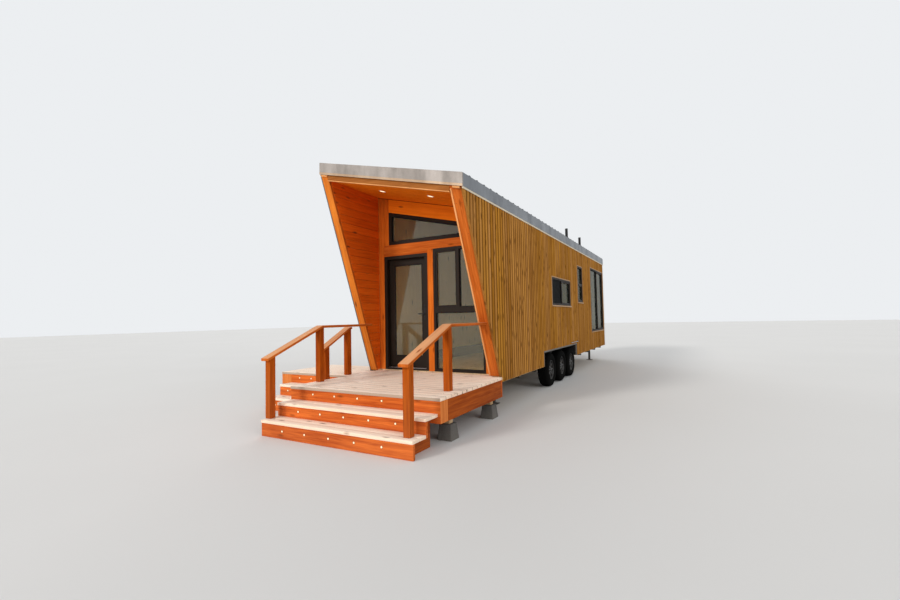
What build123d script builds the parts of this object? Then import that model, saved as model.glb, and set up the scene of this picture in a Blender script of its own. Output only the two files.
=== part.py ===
from build123d import *
import math
import os

# A tiny house on a three-axle trailer, with a raked porch, a timber deck and two flights of steps.
# Millimetres. X runs to the right across the house, Y from the porch to the tow hitch, Z up.
# The model is drawn about the house: x = 0 on its centre line, y = 0 on the outer face of the
# recessed front wall and z = 0 on the ground. At export it moves so that its origin lies under
# the middle of its whole footprint.

# House shell
HOUSE_WIDTH = 2590.0
HOUSE_LENGTH = 9370.0
SIDING_BOTTOM = 490.0
FLOOR_THICKNESS = 110.0
WALL_THICKNESS = 140.0

# Roof and its edge boards; its height follows from the transom, and its left side is higher by the rise
ROOF_RISE = 630.0
ROOF_DEPTH = 190.0
ROOF_SIDE_OVERHANG = 20.0
ROOF_REAR_OVERHANG = 30.0
FASCIA_THICKNESS = 25.0
VENT_RADIUS = 35.0
VENT_HEIGHT = 330.0
VENT_SPOTS = ((1100.0, 5200.0), (1100.0, 6770.0))

# Porch: side walls whose front edges lean forward, closed by trims, a beam and a ceiling
PORCH_FOOT = 115.0
PORCH_REACH = 1315.0
PORCH_TRIM_THICKNESS = 40.0
PORCH_TRIM_WIDTH_LEFT = 140.0
PORCH_TRIM_WIDTH_RIGHT = 195.0
PORCH_CEILING_THICKNESS = 65.0
PORCH_BEAM_HEIGHT = 95.0

# Front door
DOOR_OPENING_LEFT = -1029.0
DOOR_OPENING_WIDTH = 943.0
DOOR_OPENING_HEIGHT = 2075.0
DOOR_JAMB = 45.0
DOOR_STOP = 15.0
DOOR_FRAME_DEPTH = 125.0
DOOR_FRAME_PROUD = 8.0
DOOR_SILL = 35.0
DOOR_LEAF_THICKNESS = 44.0
DOOR_LEAF_SETBACK = 75.0
DOOR_HINGE_GAP = 5.0
DOOR_LATCH_GAP = 8.0
DOOR_HEAD_GAP = 6.0
DOOR_STILE = 115.0
DOOR_BOTTOM_RAIL = 200.0
HANDLE_HEIGHT = 1000.0
HANDLE_PLATE_WIDTH = 44.0
HANDLE_PLATE_HEIGHT = 220.0
HANDLE_PLATE_DEPTH = 8.0
HANDLE_LEVER = 20.0
HANDLE_LEVER_DEPTH = 15.0
HANDLE_REACH = 120.0
HANDLE_STANDOFF = 45.0
HINGE_RADIUS = 8.0
HINGE_PIN_RADIUS = 4.0
HINGE_PIN_CLEARANCE = 0.06
HINGE_END_CLEARANCE = 0.3
HINGE_KNUCKLE = 40.0
HINGE_PLATE = 4.0
HINGE_STANDOFF = 1.0
HINGE_PLATE_WIDTH = 38.0
HINGE_HEIGHTS = (250.0, 1010.0, 1780.0)

# Windows
GLASS_THICKNESS = 22.0
WINDOW_FRAME_DEPTH = 90.0
WINDOW_FRAME_PROUD = 8.0
WINDOW_BAR = 45.0
FRONT_WINDOW_LEFT = 29.0
FRONT_WINDOW_WIDTH = 973.0
FRONT_WINDOW_HEIGHT = 2134.0
FRONT_WINDOW_RAIL_BOTTOM = 1010.0
FRONT_WINDOW_RAIL_HEIGHT = 97.0
TRANSOM_LEFT = -918.0
TRANSOM_WIDTH = 1868.0
TRANSOM_SILL_GAP = 151.0
TRANSOM_LOW_HEIGHT = 169.4
TRANSOM_DROP = 323.0
TRANSOM_BAR = 65.0
# The last right window keeps its distance from the rear corner
REAR_WINDOW_FROM_CORNER = 220.0
REAR_WINDOW_WIDTH = 2000.0
REAR_WINDOW_START = HOUSE_LENGTH - REAR_WINDOW_FROM_CORNER - REAR_WINDOW_WIDTH

# Each side window: the y where it starts, its width, sill height and height, and how its divider stands
RIGHT_WINDOWS = (
    (2920.0, 1630.0, 1760.0, 620.0, "upright"),
    (5410.0, 570.0, 1880.0, 980.0, "level"),
    (REAR_WINDOW_START, REAR_WINDOW_WIDTH, 1030.0, 1940.0, "upright"),
)
LEFT_WINDOWS = (
    (4700.0, 1630.0, 1760.0, 620.0, "upright"),
    (7300.0, 1630.0, 1760.0, 620.0, "upright"),
)

# Trailer
FRAME_HEIGHT = 100.0
FRAME_RAIL_X = 850.0
FRAME_RAIL_WIDTH = 60.0
CROSS_MEMBER_WIDTH = 60.0
CROSS_MEMBER_FROM_WELL = 50.0
FRONT_CROSS_MEMBERS = (60.0, 1100.0)
REAR_CROSS_MEMBERS = (1010.0, 2060.0, 3110.0)
TONGUE_LENGTH = 1450.0
TONGUE_BEAM_WIDTH = 75.0
TONGUE_BEAM_FOOT = 105.0
TONGUE_NOSE_WIDTH = 220.0
TONGUE_NOSE_LENGTH = 200.0
COUPLER_LENGTH = 260.0
COUPLER_WIDTH = 100.0
COUPLER_HEIGHT = 90.0
COUPLER_BALL_RADIUS = 30.0
JACK_TUBE_RADIUS = 30.0
JACK_TUBE_TOP = 820.0
JACK_CLEARANCE = 0.5
JACK_FLANGE = 120.0
JACK_CRANK_DROP = 40.0
JACK_CRANK_REACH = 150.0
JACK_CRANK_RADIUS = 9.0
JACK_GRIP_RADIUS = 6.0
JACK_GRIP_LENGTH = 110.0
FOOT_WIDTH = 180.0
FOOT_THICKNESS = 12.0
LEG_WIDTH = 60.0
LEG_FROM_FRONT = 600.0
LEG_FROM_REAR = 470.0

# Wheels
FIRST_AXLE = 2860.0
AXLE_PITCH = 890.0
AXLE_COUNT = 3
AXLE_BEAM = 60.0
AXLE_HALF_LENGTH = 1000.0
SPINDLE_RADIUS = 25.0
SPINDLE_CLEARANCE = 0.06
SPINDLE_END_GAP = 5.0
TYRE_RADIUS = 360.0
TYRE_WIDTH = 235.0
TYRE_SHOULDER = 47.0
TYRE_INSET = 25.0
RIM_RADIUS = 205.0
RIM_BARREL = 14.0
RIM_DISC = 30.0
RIM_INSET = 22.0
RIM_HUB_RADIUS = 75.0
RIM_WINDOWS = 8
RIM_WINDOW_MARGIN = 12.0
WELL_BEFORE_AXLES = 660.0
WELL_BEHIND_AXLES = 420.0
WHEEL_WELL_TOP = 777.0
WHEEL_HOUSING_WIDTH = 200.0
WHEEL_HOUSING_SHEET = 25.0

# Deck, its landing on the left and the two flights of steps
DECK_TOP = 580.0
DECK_LEFT = -1150.0
DECK_WIDTH = 2495.0
DECK_FRONT = -2090.0
DECK_BACK_SIDE = -170.0
DECK_HOUSE_GAP = 5.0
DECK_BOARD = 38.0
DECK_RIM = 38.0
DECK_RIM_HEIGHT = 262.0
JOIST_PITCH = 420.0
STEP_RISE = 183.0
STEP_GOING = 262.0
STEP_COUNT = 2
STEP_SIDE_INSET = 40.0
SIDE_FLIGHT_INSET = 250.0
RISER_SETBACK = 12.0
STRINGER_THICKNESS = 38.0
STRINGER_INSET = 110.0
LANDING_WIDTH = 1600.0
LANDING_FRONT = -900.0
LANDING_DEPTH = 1300.0
LANDING_HOUSE_GAP = 20.0

# Railings
POST_WIDTH = 89.0
POST_INSET_RIGHT = 125.0
POST_INSET_LEFT = 30.0
LANDING_POST_FROM_DECK = 55.0
LOW_POST_FROM_NOSING = 80.0
HIGH_POST_FROM_NOSING = 500.0
LANDING_POST_FROM_NOSING = 120.0
RAIL_HEIGHT = 860.0
LOW_POST_RISE = 810.0
LANDING_RAIL_HEIGHT = 815.0
LANDING_LOW_POST_RISE = 861.0
RAIL_WIDTH = 140.0
RAIL_THICKNESS = 38.0
RAIL_TAIL = 95.0

# Pier blocks under the deck
PIER_HEIGHT = 200.0
PIER_BASE_WIDTH = 210.0
PIER_TOP_WIDTH = 165.0
PIER_INSET_X = 130.0
PIER_INSET_FRONT = 410.0
PIER_INSET_BACK = 235.0

# Places that follow from the sizes above
HALF_WIDTH = HOUSE_WIDTH / 2
HALF_ROOM = HALF_WIDTH - WALL_THICKNESS
FLOOR_TOP = SIDING_BOTTOM + FLOOR_THICKNESS
HALF_ROOF = HALF_WIDTH + ROOF_SIDE_OVERHANG
ROOF_FRONT = -PORCH_REACH - FASCIA_THICKNESS
ROOF_REAR = HOUSE_LENGTH + ROOF_REAR_OVERHANG
ROOF_FALL = ROOF_RISE / (2 * HALF_ROOF)
DOOR_TOP = FLOOR_TOP + DOOR_OPENING_HEIGHT
FRONT_WINDOW_TOP = FLOOR_TOP + FRONT_WINDOW_HEIGHT
TRANSOM_RIGHT = TRANSOM_LEFT + TRANSOM_WIDTH
TRANSOM_SILL = max(DOOR_TOP, FRONT_WINDOW_TOP) + TRANSOM_SILL_GAP
ROOF_TOP_AT_TRANSOM = TRANSOM_SILL + TRANSOM_LOW_HEIGHT + TRANSOM_DROP + ROOF_DEPTH
EAVE_TOP_RIGHT = ROOF_TOP_AT_TRANSOM - (HALF_ROOF - TRANSOM_RIGHT) * ROOF_FALL
EAVE_TOP_LEFT = EAVE_TOP_RIGHT + ROOF_RISE
FRAME_BOTTOM = SIDING_BOTTOM - FRAME_HEIGHT
TONGUE_NOSE = HOUSE_LENGTH + TONGUE_LENGTH
AXLE_SPOTS = [FIRST_AXLE + AXLE_PITCH * number for number in range(AXLE_COUNT)]
WHEEL_WELL_FRONT = AXLE_SPOTS[0] - WELL_BEFORE_AXLES
WHEEL_WELL_REAR = AXLE_SPOTS[-1] + WELL_BEHIND_AXLES
TYRE_OUTER_X = HALF_WIDTH - TYRE_INSET
SPINDLE_END = TYRE_OUTER_X - RIM_INSET - RIM_DISC
DECK_RIGHT = DECK_LEFT + DECK_WIDTH
LANDING_LEFT = DECK_LEFT - LANDING_WIDTH
STEPS_FRONT = DECK_FRONT - STEP_COUNT * STEP_GOING
ORIGIN_X = (LANDING_LEFT + DECK_RIGHT) / 2
ORIGIN_Y = (STEPS_FRONT + TONGUE_NOSE + COUPLER_LENGTH) / 2

nodes = {}


def block(x_range, y_range, z_range):
    """Return a box that fills the three ranges."""
    size = [high - low for low, high in (x_range, y_range, z_range)]
    middle = [(low + high) / 2 for low, high in (x_range, y_range, z_range)]
    return Pos(*middle) * Box(*size)


def prism_along_y(points, y_range):
    """Return the outline of (x, z) points, drawn out along Y."""
    outline = Polyline(*[(x, y_range[0], z) for x, z in points], close=True)
    return extrude(make_face(outline), amount=y_range[1] - y_range[0], dir=(0, 1, 0))


def prism_along_x(points, x_range):
    """Return the outline of (y, z) points, drawn out along X."""
    outline = Polyline(*[(x_range[0], y, z) for y, z in points], close=True)
    return extrude(make_face(outline), amount=x_range[1] - x_range[0], dir=(1, 0, 0))


def prism_along_z(points, z_range):
    """Return the outline of (x, y) points, drawn out along Z."""
    outline = Polyline(*[(x, y, z_range[0]) for x, y in points], close=True)
    return extrude(make_face(outline), amount=z_range[1] - z_range[0], dir=(0, 0, 1))


def rod_along_x(x_range, y, z, radius):
    """Return a round bar along X."""
    middle = (x_range[0] + x_range[1]) / 2
    return Pos(middle, y, z) * Rot(0, 90, 0) * Cylinder(radius, x_range[1] - x_range[0])


def rod_along_z(x, y, z_range, radius):
    """Return a round bar along Z."""
    middle = (z_range[0] + z_range[1]) / 2
    return Pos(x, y, middle) * Cylinder(radius, z_range[1] - z_range[0])


def roof_top(x):
    """Return the height of the roof's top at x."""
    return EAVE_TOP_RIGHT + (HALF_ROOF - x) * ROOF_FALL


def roof_under(x):
    """Return the height of the roof's underside at x."""
    return roof_top(x) - ROOF_DEPTH


def under_roof(x_range, y_range, bottom):
    """Return a wall that runs from bottom up to the roof's underside."""
    low, high = x_range
    points = [(low, bottom), (high, bottom), (high, roof_under(high)), (low, roof_under(low))]
    return prism_along_y(points, y_range)


def roof_band(x_range, y_range, under, over):
    """Return a slab that lies along the roof's slope, between two heights measured from its underside."""
    low, high = x_range
    points = [
        (low, roof_under(low) + under),
        (high, roof_under(high) + under),
        (high, roof_under(high) + over),
        (low, roof_under(low) + over),
    ]
    return prism_along_y(points, y_range)


def rake_front(side, height):
    """Return the y of a porch trim's leaning front face at a height; side is -1 left, 1 right."""
    rake = (PORCH_REACH - PORCH_FOOT) / (roof_under(side * HALF_ROOM) - FLOOR_TOP)
    return -PORCH_FOOT - rake * (height - FLOOR_TOP)


# House shell

def wheel_well(side):
    """Return the space over the wheels that is cut out of a side wall."""
    x_range = sorted((side * (HALF_WIDTH + 1), side * (HALF_ROOM - 1)))
    return block(x_range, (WHEEL_WELL_FRONT, WHEEL_WELL_REAR), (SIDING_BOTTOM - 1, WHEEL_WELL_TOP))


def side_wall(side, windows):
    """Return a side wall of the house, with its windows and wheel well cut through."""
    x_range = sorted((side * HALF_ROOM, side * HALF_WIDTH))
    wall = under_roof(x_range, (0, HOUSE_LENGTH), SIDING_BOTTOM)
    wall -= wheel_well(side)
    for first, width, sill, height, _ in windows:
        wall -= block((x_range[0] - 1, x_range[1] + 1), (first, first + width), (sill, sill + height))
    return wall


def wheel_housing(side):
    """Return the box inside the room that closes the house over its wheels."""
    inner_x = HALF_ROOM - WHEEL_HOUSING_WIDTH
    shell = block(
        sorted((side * (inner_x - WHEEL_HOUSING_SHEET), side * HALF_ROOM)),
        (WHEEL_WELL_FRONT - WHEEL_HOUSING_SHEET, WHEEL_WELL_REAR + WHEEL_HOUSING_SHEET),
        (SIDING_BOTTOM, WHEEL_WELL_TOP + WHEEL_HOUSING_SHEET),
    )
    space = block(
        sorted((side * inner_x, side * (HALF_ROOM + 1))),
        (WHEEL_WELL_FRONT, WHEEL_WELL_REAR),
        (SIDING_BOTTOM - 1, WHEEL_WELL_TOP),
    )
    return shell - space


def floor():
    """Return the floor, notched for the wheel housings."""
    slab = block(
        (-HALF_ROOM, HALF_ROOM), (0, HOUSE_LENGTH - WALL_THICKNESS), (SIDING_BOTTOM, FLOOR_TOP)
    )
    notch_x = HALF_ROOM - WHEEL_HOUSING_WIDTH - WHEEL_HOUSING_SHEET
    for side in (-1, 1):
        slab -= block(
            sorted((side * notch_x, side * (HALF_ROOM + 1))),
            (WHEEL_WELL_FRONT - WHEEL_HOUSING_SHEET, WHEEL_WELL_REAR + WHEEL_HOUSING_SHEET),
            (SIDING_BOTTOM - 1, FLOOR_TOP + 1),
        )
    return slab


def transom_outline(inset):
    """Return the transom's outline, moved inwards by inset; its top follows the roof."""
    left = TRANSOM_LEFT + inset
    right = TRANSOM_RIGHT - inset
    bottom = TRANSOM_SILL + inset
    slant = inset * math.hypot(1, ROOF_FALL)
    return [
        (left, bottom),
        (right, bottom),
        (right, roof_under(right) - TRANSOM_DROP - slant),
        (left, roof_under(left) - TRANSOM_DROP - slant),
    ]


def shell_nodes():
    """Add the floor, walls and wheel housings."""
    front = (0, WALL_THICKNESS)
    cut = (-1, WALL_THICKNESS + 1)
    door_x = (DOOR_OPENING_LEFT, DOOR_OPENING_LEFT + DOOR_OPENING_WIDTH)
    window_x = (FRONT_WINDOW_LEFT, FRONT_WINDOW_LEFT + FRONT_WINDOW_WIDTH)
    nodes["floor"] = floor()
    nodes["left_wall"] = side_wall(-1, LEFT_WINDOWS)
    nodes["right_wall"] = side_wall(1, RIGHT_WINDOWS)
    nodes["rear_wall"] = under_roof(
        (-HALF_ROOM, HALF_ROOM), (HOUSE_LENGTH - WALL_THICKNESS, HOUSE_LENGTH), SIDING_BOTTOM
    )
    nodes["front_wall_left"] = under_roof((-HALF_ROOM, DOOR_OPENING_LEFT), front, FLOOR_TOP)
    nodes["front_wall_post"] = block((door_x[1], window_x[0]), front, (FLOOR_TOP, DOOR_TOP))
    nodes["front_wall_right"] = block((window_x[1], HALF_ROOM), front, (FLOOR_TOP, DOOR_TOP))
    over = under_roof((DOOR_OPENING_LEFT, HALF_ROOM), front, DOOR_TOP)
    over += block(window_x, front, sorted((FRONT_WINDOW_TOP, DOOR_TOP)))
    over -= block(window_x, cut, (FLOOR_TOP, FRONT_WINDOW_TOP))
    nodes["front_wall_top"] = over - prism_along_y(transom_outline(0), cut)
    nodes["wheel_housings"] = Compound([wheel_housing(-1), wheel_housing(1)])


# Porch and roof

def space_over_roof():
    """Return the space above the roof's underside, over the porch, which trims what stands below it."""
    return roof_band((-HALF_ROOF, HALF_ROOF), (2 * ROOF_FRONT, 1), 0, HOUSE_WIDTH)


def porch_wall(side):
    """Return a porch side wall, whose front edge leans forward."""
    x_range = sorted((side * HALF_ROOM, side * HALF_WIDTH))
    top = roof_under(x_range[0])
    points = [
        (0, SIDING_BOTTOM),
        (0, top),
        (rake_front(side, top) + PORCH_TRIM_THICKNESS, top),
        (rake_front(side, SIDING_BOTTOM) + PORCH_TRIM_THICKNESS, SIDING_BOTTOM),
    ]
    return prism_along_x(points, x_range) - space_over_roof()


def trim_x(side):
    """Return the x range of a porch trim."""
    width = PORCH_TRIM_WIDTH_LEFT if side < 0 else PORCH_TRIM_WIDTH_RIGHT
    return sorted((side * (HALF_WIDTH - width), side * HALF_WIDTH))


def porch_trim(side):
    """Return the board on a porch side wall's leaning front edge."""
    x_range = trim_x(side)
    foot = DECK_TOP + DECK_HOUSE_GAP
    top = roof_under(x_range[0])
    front = [(rake_front(side, height), height) for height in (foot, top)]
    back = [(y + PORCH_TRIM_THICKNESS, height) for y, height in reversed(front)]
    beyond_fascia = block(x_range, (2 * ROOF_FRONT, -PORCH_REACH), (FLOOR_TOP, EAVE_TOP_LEFT))
    return prism_along_x(front + back, x_range) - space_over_roof() - beyond_fascia


def roof_nodes():
    """Add the porch, the roof, its edge boards and its vent pipes."""
    inner_x = (-HALF_ROOF + FASCIA_THICKNESS, HALF_ROOF - FASCIA_THICKNESS)
    inner_y = (ROOF_FRONT + FASCIA_THICKNESS, ROOF_REAR - FASCIA_THICKNESS)
    whole_x = (-HALF_ROOF, HALF_ROOF)
    room_x = (-HALF_ROOM, HALF_ROOM)
    trims = [porch_trim(-1), porch_trim(1)]
    nodes["left_porch_wall"] = porch_wall(-1)
    nodes["right_porch_wall"] = porch_wall(1)
    nodes["porch_trims"] = Compound(trims)
    beam_x = (trim_x(-1)[1], trim_x(1)[0])
    beam_back = -PORCH_REACH + PORCH_TRIM_THICKNESS
    nodes["porch_beam"] = roof_band(beam_x, (-PORCH_REACH, beam_back), -PORCH_BEAM_HEIGHT, 0)
    ceiling = roof_band(room_x, (beam_back, 0), -PORCH_CEILING_THICKNESS, 0)
    nodes["porch_ceiling"] = ceiling - trims[0] - trims[1]
    vents = []
    roof = roof_band(inner_x, inner_y, 0, ROOF_DEPTH)
    for x, y in VENT_SPOTS:
        vent = rod_along_z(x, y, (roof_under(x) + ROOF_DEPTH / 2, roof_top(x) + VENT_HEIGHT), VENT_RADIUS)
        vents.append(vent)
        roof -= vent
    nodes["roof"] = roof
    nodes["roof_vents"] = Compound(vents)
    nodes["end_fascias"] = Compound(
        [
            roof_band(whole_x, (ROOF_FRONT, inner_y[0]), 0, ROOF_DEPTH),
            roof_band(whole_x, (inner_y[1], ROOF_REAR), 0, ROOF_DEPTH),
        ]
    )
    nodes["side_fascias"] = Compound(
        [
            roof_band((-HALF_ROOF, inner_x[0]), inner_y, 0, ROOF_DEPTH),
            roof_band((inner_x[1], HALF_ROOF), inner_y, 0, ROOF_DEPTH),
        ]
    )


# Door and windows

def door_nodes():
    """Add the front door's frame, leaf, glass, handle and hinges; return the hinge axis."""
    left, right = DOOR_OPENING_LEFT, DOOR_OPENING_LEFT + DOOR_OPENING_WIDTH
    top = DOOR_TOP
    front = -DOOR_FRAME_PROUD
    back = front + DOOR_FRAME_DEPTH
    stop_back = DOOR_LEAF_SETBACK - DOOR_HINGE_GAP
    leaf_back = DOOR_LEAF_SETBACK + DOOR_LEAF_THICKNESS
    inner_x = (left + DOOR_JAMB, right - DOOR_JAMB)
    inner_top = top - DOOR_JAMB
    sill_top = FLOOR_TOP + DOOR_SILL
    frame = block((left, right), (0, back), (FLOOR_TOP, top))
    frame += block((left, right), (front, 0), (FLOOR_TOP, top))
    frame -= block(inner_x, (stop_back, back + 1), (sill_top, inner_top))
    stopped_x = (inner_x[0] + DOOR_STOP, inner_x[1] - DOOR_STOP)
    frame -= block(stopped_x, (front - 1, stop_back + 1), (sill_top, inner_top - DOOR_STOP))
    nodes["door_frame"] = frame

    leaf_x = (inner_x[0] + DOOR_HINGE_GAP, inner_x[1] - DOOR_LATCH_GAP)
    leaf_z = (sill_top + DOOR_HEAD_GAP, inner_top - DOOR_HEAD_GAP)
    glass_x = (leaf_x[0] + DOOR_STILE, leaf_x[1] - DOOR_STILE)
    glass_z = (leaf_z[0] + DOOR_BOTTOM_RAIL, leaf_z[1] - DOOR_STILE)
    leaf = block(leaf_x, (DOOR_LEAF_SETBACK, leaf_back), leaf_z)
    nodes["door_leaf"] = leaf - block(glass_x, (DOOR_LEAF_SETBACK - 1, leaf_back + 1), glass_z)
    glass_front = DOOR_LEAF_SETBACK + (DOOR_LEAF_THICKNESS - GLASS_THICKNESS) / 2
    nodes["door_glass"] = block(glass_x, (glass_front, glass_front + GLASS_THICKNESS), glass_z)

    handle_x = leaf_x[1] - DOOR_STILE / 2
    handle_z = FLOOR_TOP + HANDLE_HEIGHT
    plate_x = (handle_x - HANDLE_PLATE_WIDTH / 2, handle_x + HANDLE_PLATE_WIDTH / 2)
    plate_z = (handle_z - HANDLE_PLATE_HEIGHT / 2, handle_z + HANDLE_PLATE_HEIGHT / 2)
    neck_x = (handle_x - HANDLE_LEVER / 2, handle_x + HANDLE_LEVER / 2)
    grip_x = (handle_x - HANDLE_REACH, neck_x[1])
    lever_z = (handle_z - HANDLE_LEVER / 2, handle_z + HANDLE_LEVER / 2)
    levers = []
    for face, away in ((DOOR_LEAF_SETBACK, -1), (leaf_back, 1)):
        end = face + away * HANDLE_STANDOFF
        lever = block(plate_x, sorted((face, face + away * HANDLE_PLATE_DEPTH)), plate_z)
        lever += block(neck_x, sorted((face, end)), lever_z)
        lever += block(grip_x, sorted((end - away * HANDLE_LEVER_DEPTH, end)), lever_z)
        levers.append(lever)

    axis = (leaf_x[0] - DOOR_HINGE_GAP / 2, leaf_back + HINGE_RADIUS + HINGE_STANDOFF)
    leaf_hinges, frame_hinges = [], []
    for height in HINGE_HEIGHTS:
        low = FLOOR_TOP + height
        middle = (low + HINGE_END_CLEARANCE, low + HINGE_KNUCKLE - HINGE_END_CLEARANCE)
        knuckle = rod_along_z(*axis, middle, HINGE_RADIUS)
        plate_x = (axis[0], leaf_x[0] + HINGE_PLATE_WIDTH)
        knuckle += block(plate_x, (leaf_back, leaf_back + HINGE_PLATE), middle)
        bore = HINGE_PIN_RADIUS + HINGE_PIN_CLEARANCE
        knuckle -= rod_along_z(*axis, (low - 1, low + HINGE_KNUCKLE + 1), bore)
        leaf_hinges.append(knuckle)
        pin = rod_along_z(*axis, (low - HINGE_KNUCKLE, low + 2 * HINGE_KNUCKLE), HINGE_PIN_RADIUS)
        for ends in ((low - HINGE_KNUCKLE, low), (low + HINGE_KNUCKLE, low + 2 * HINGE_KNUCKLE)):
            pin += rod_along_z(*axis, ends, HINGE_RADIUS)
            pin += block((inner_x[0] - HINGE_PLATE_WIDTH, axis[0]), (back, back + HINGE_PLATE), ends)
        frame_hinges.append(pin)
    nodes["door_fittings"] = Compound(levers + leaf_hinges)
    nodes["door_hinge_pins"] = Compound(frame_hinges)
    return axis


def window_y():
    """Return the y ranges of a front window's frame and of its glass."""
    front = -WINDOW_FRAME_PROUD
    glass_front = front + (WINDOW_FRAME_DEPTH - GLASS_THICKNESS) / 2
    return (front, front + WINDOW_FRAME_DEPTH), (glass_front, glass_front + GLASS_THICKNESS)


def front_window_nodes():
    """Add the tall window beside the door and the transom over it."""
    frame_y, glass_y = window_y()
    cut_y = (frame_y[0] - 1, frame_y[1] + 1)
    left, right = FRONT_WINDOW_LEFT, FRONT_WINDOW_LEFT + FRONT_WINDOW_WIDTH
    bottom, top = FLOOR_TOP, FRONT_WINDOW_TOP
    rail = (bottom + FRONT_WINDOW_RAIL_BOTTOM, bottom + FRONT_WINDOW_RAIL_BOTTOM + FRONT_WINDOW_RAIL_HEIGHT)
    middle = (left + right) / 2
    panes = [
        ((left + WINDOW_BAR, right - WINDOW_BAR), (bottom + WINDOW_BAR, rail[0])),
        ((left + WINDOW_BAR, middle - WINDOW_BAR / 2), (rail[1], top - WINDOW_BAR)),
        ((middle + WINDOW_BAR / 2, right - WINDOW_BAR), (rail[1], top - WINDOW_BAR)),
    ]
    frame = block((left, right), frame_y, (bottom, top))
    glass = []
    for x_range, z_range in panes:
        frame -= block(x_range, cut_y, z_range)
        glass.append(block(x_range, glass_y, z_range))
    pane = transom_outline(TRANSOM_BAR)
    transom = prism_along_y(transom_outline(0), frame_y) - prism_along_y(pane, cut_y)
    glass.append(prism_along_y(pane, glass_y))
    nodes["front_window_frames"] = Compound([frame, transom])
    nodes["front_window_glass"] = Compound(glass)


def side_windows(side, windows):
    """Return the frames and the panes of one side wall's windows."""
    outer = HALF_WIDTH + WINDOW_FRAME_PROUD
    inner = outer - WINDOW_FRAME_DEPTH
    glass_outer = outer - (WINDOW_FRAME_DEPTH - GLASS_THICKNESS) / 2
    frame_x = sorted((side * inner, side * outer))
    glass_x = sorted((side * (glass_outer - GLASS_THICKNESS), side * glass_outer))
    cut_x = (frame_x[0] - 1, frame_x[1] + 1)
    frames, panes = [], []
    for first, width, sill, height, divider in windows:
        y_range = (first + WINDOW_BAR, first + width - WINDOW_BAR)
        z_range = (sill + WINDOW_BAR, sill + height - WINDOW_BAR)
        if divider == "upright":
            middle = first + width / 2
            lights = [((y_range[0], middle - WINDOW_BAR / 2), z_range)]
            lights.append(((middle + WINDOW_BAR / 2, y_range[1]), z_range))
        else:
            middle = sill + height / 2
            lights = [(y_range, (z_range[0], middle - WINDOW_BAR / 2))]
            lights.append((y_range, (middle + WINDOW_BAR / 2, z_range[1])))
        frame = block(frame_x, (first, first + width), (sill, sill + height))
        for light_y, light_z in lights:
            frame -= block(cut_x, light_y, light_z)
            panes.append(block(glass_x, light_y, light_z))
        frames.append(frame)
    return frames, panes


def side_window_nodes():
    """Add the windows of both side walls."""
    right_frames, right_panes = side_windows(1, RIGHT_WINDOWS)
    left_frames, left_panes = side_windows(-1, LEFT_WINDOWS)
    nodes["side_window_frames"] = Compound(right_frames + left_frames)
    nodes["side_window_glass"] = Compound(right_panes + left_panes)


# Trailer and wheels

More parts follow.
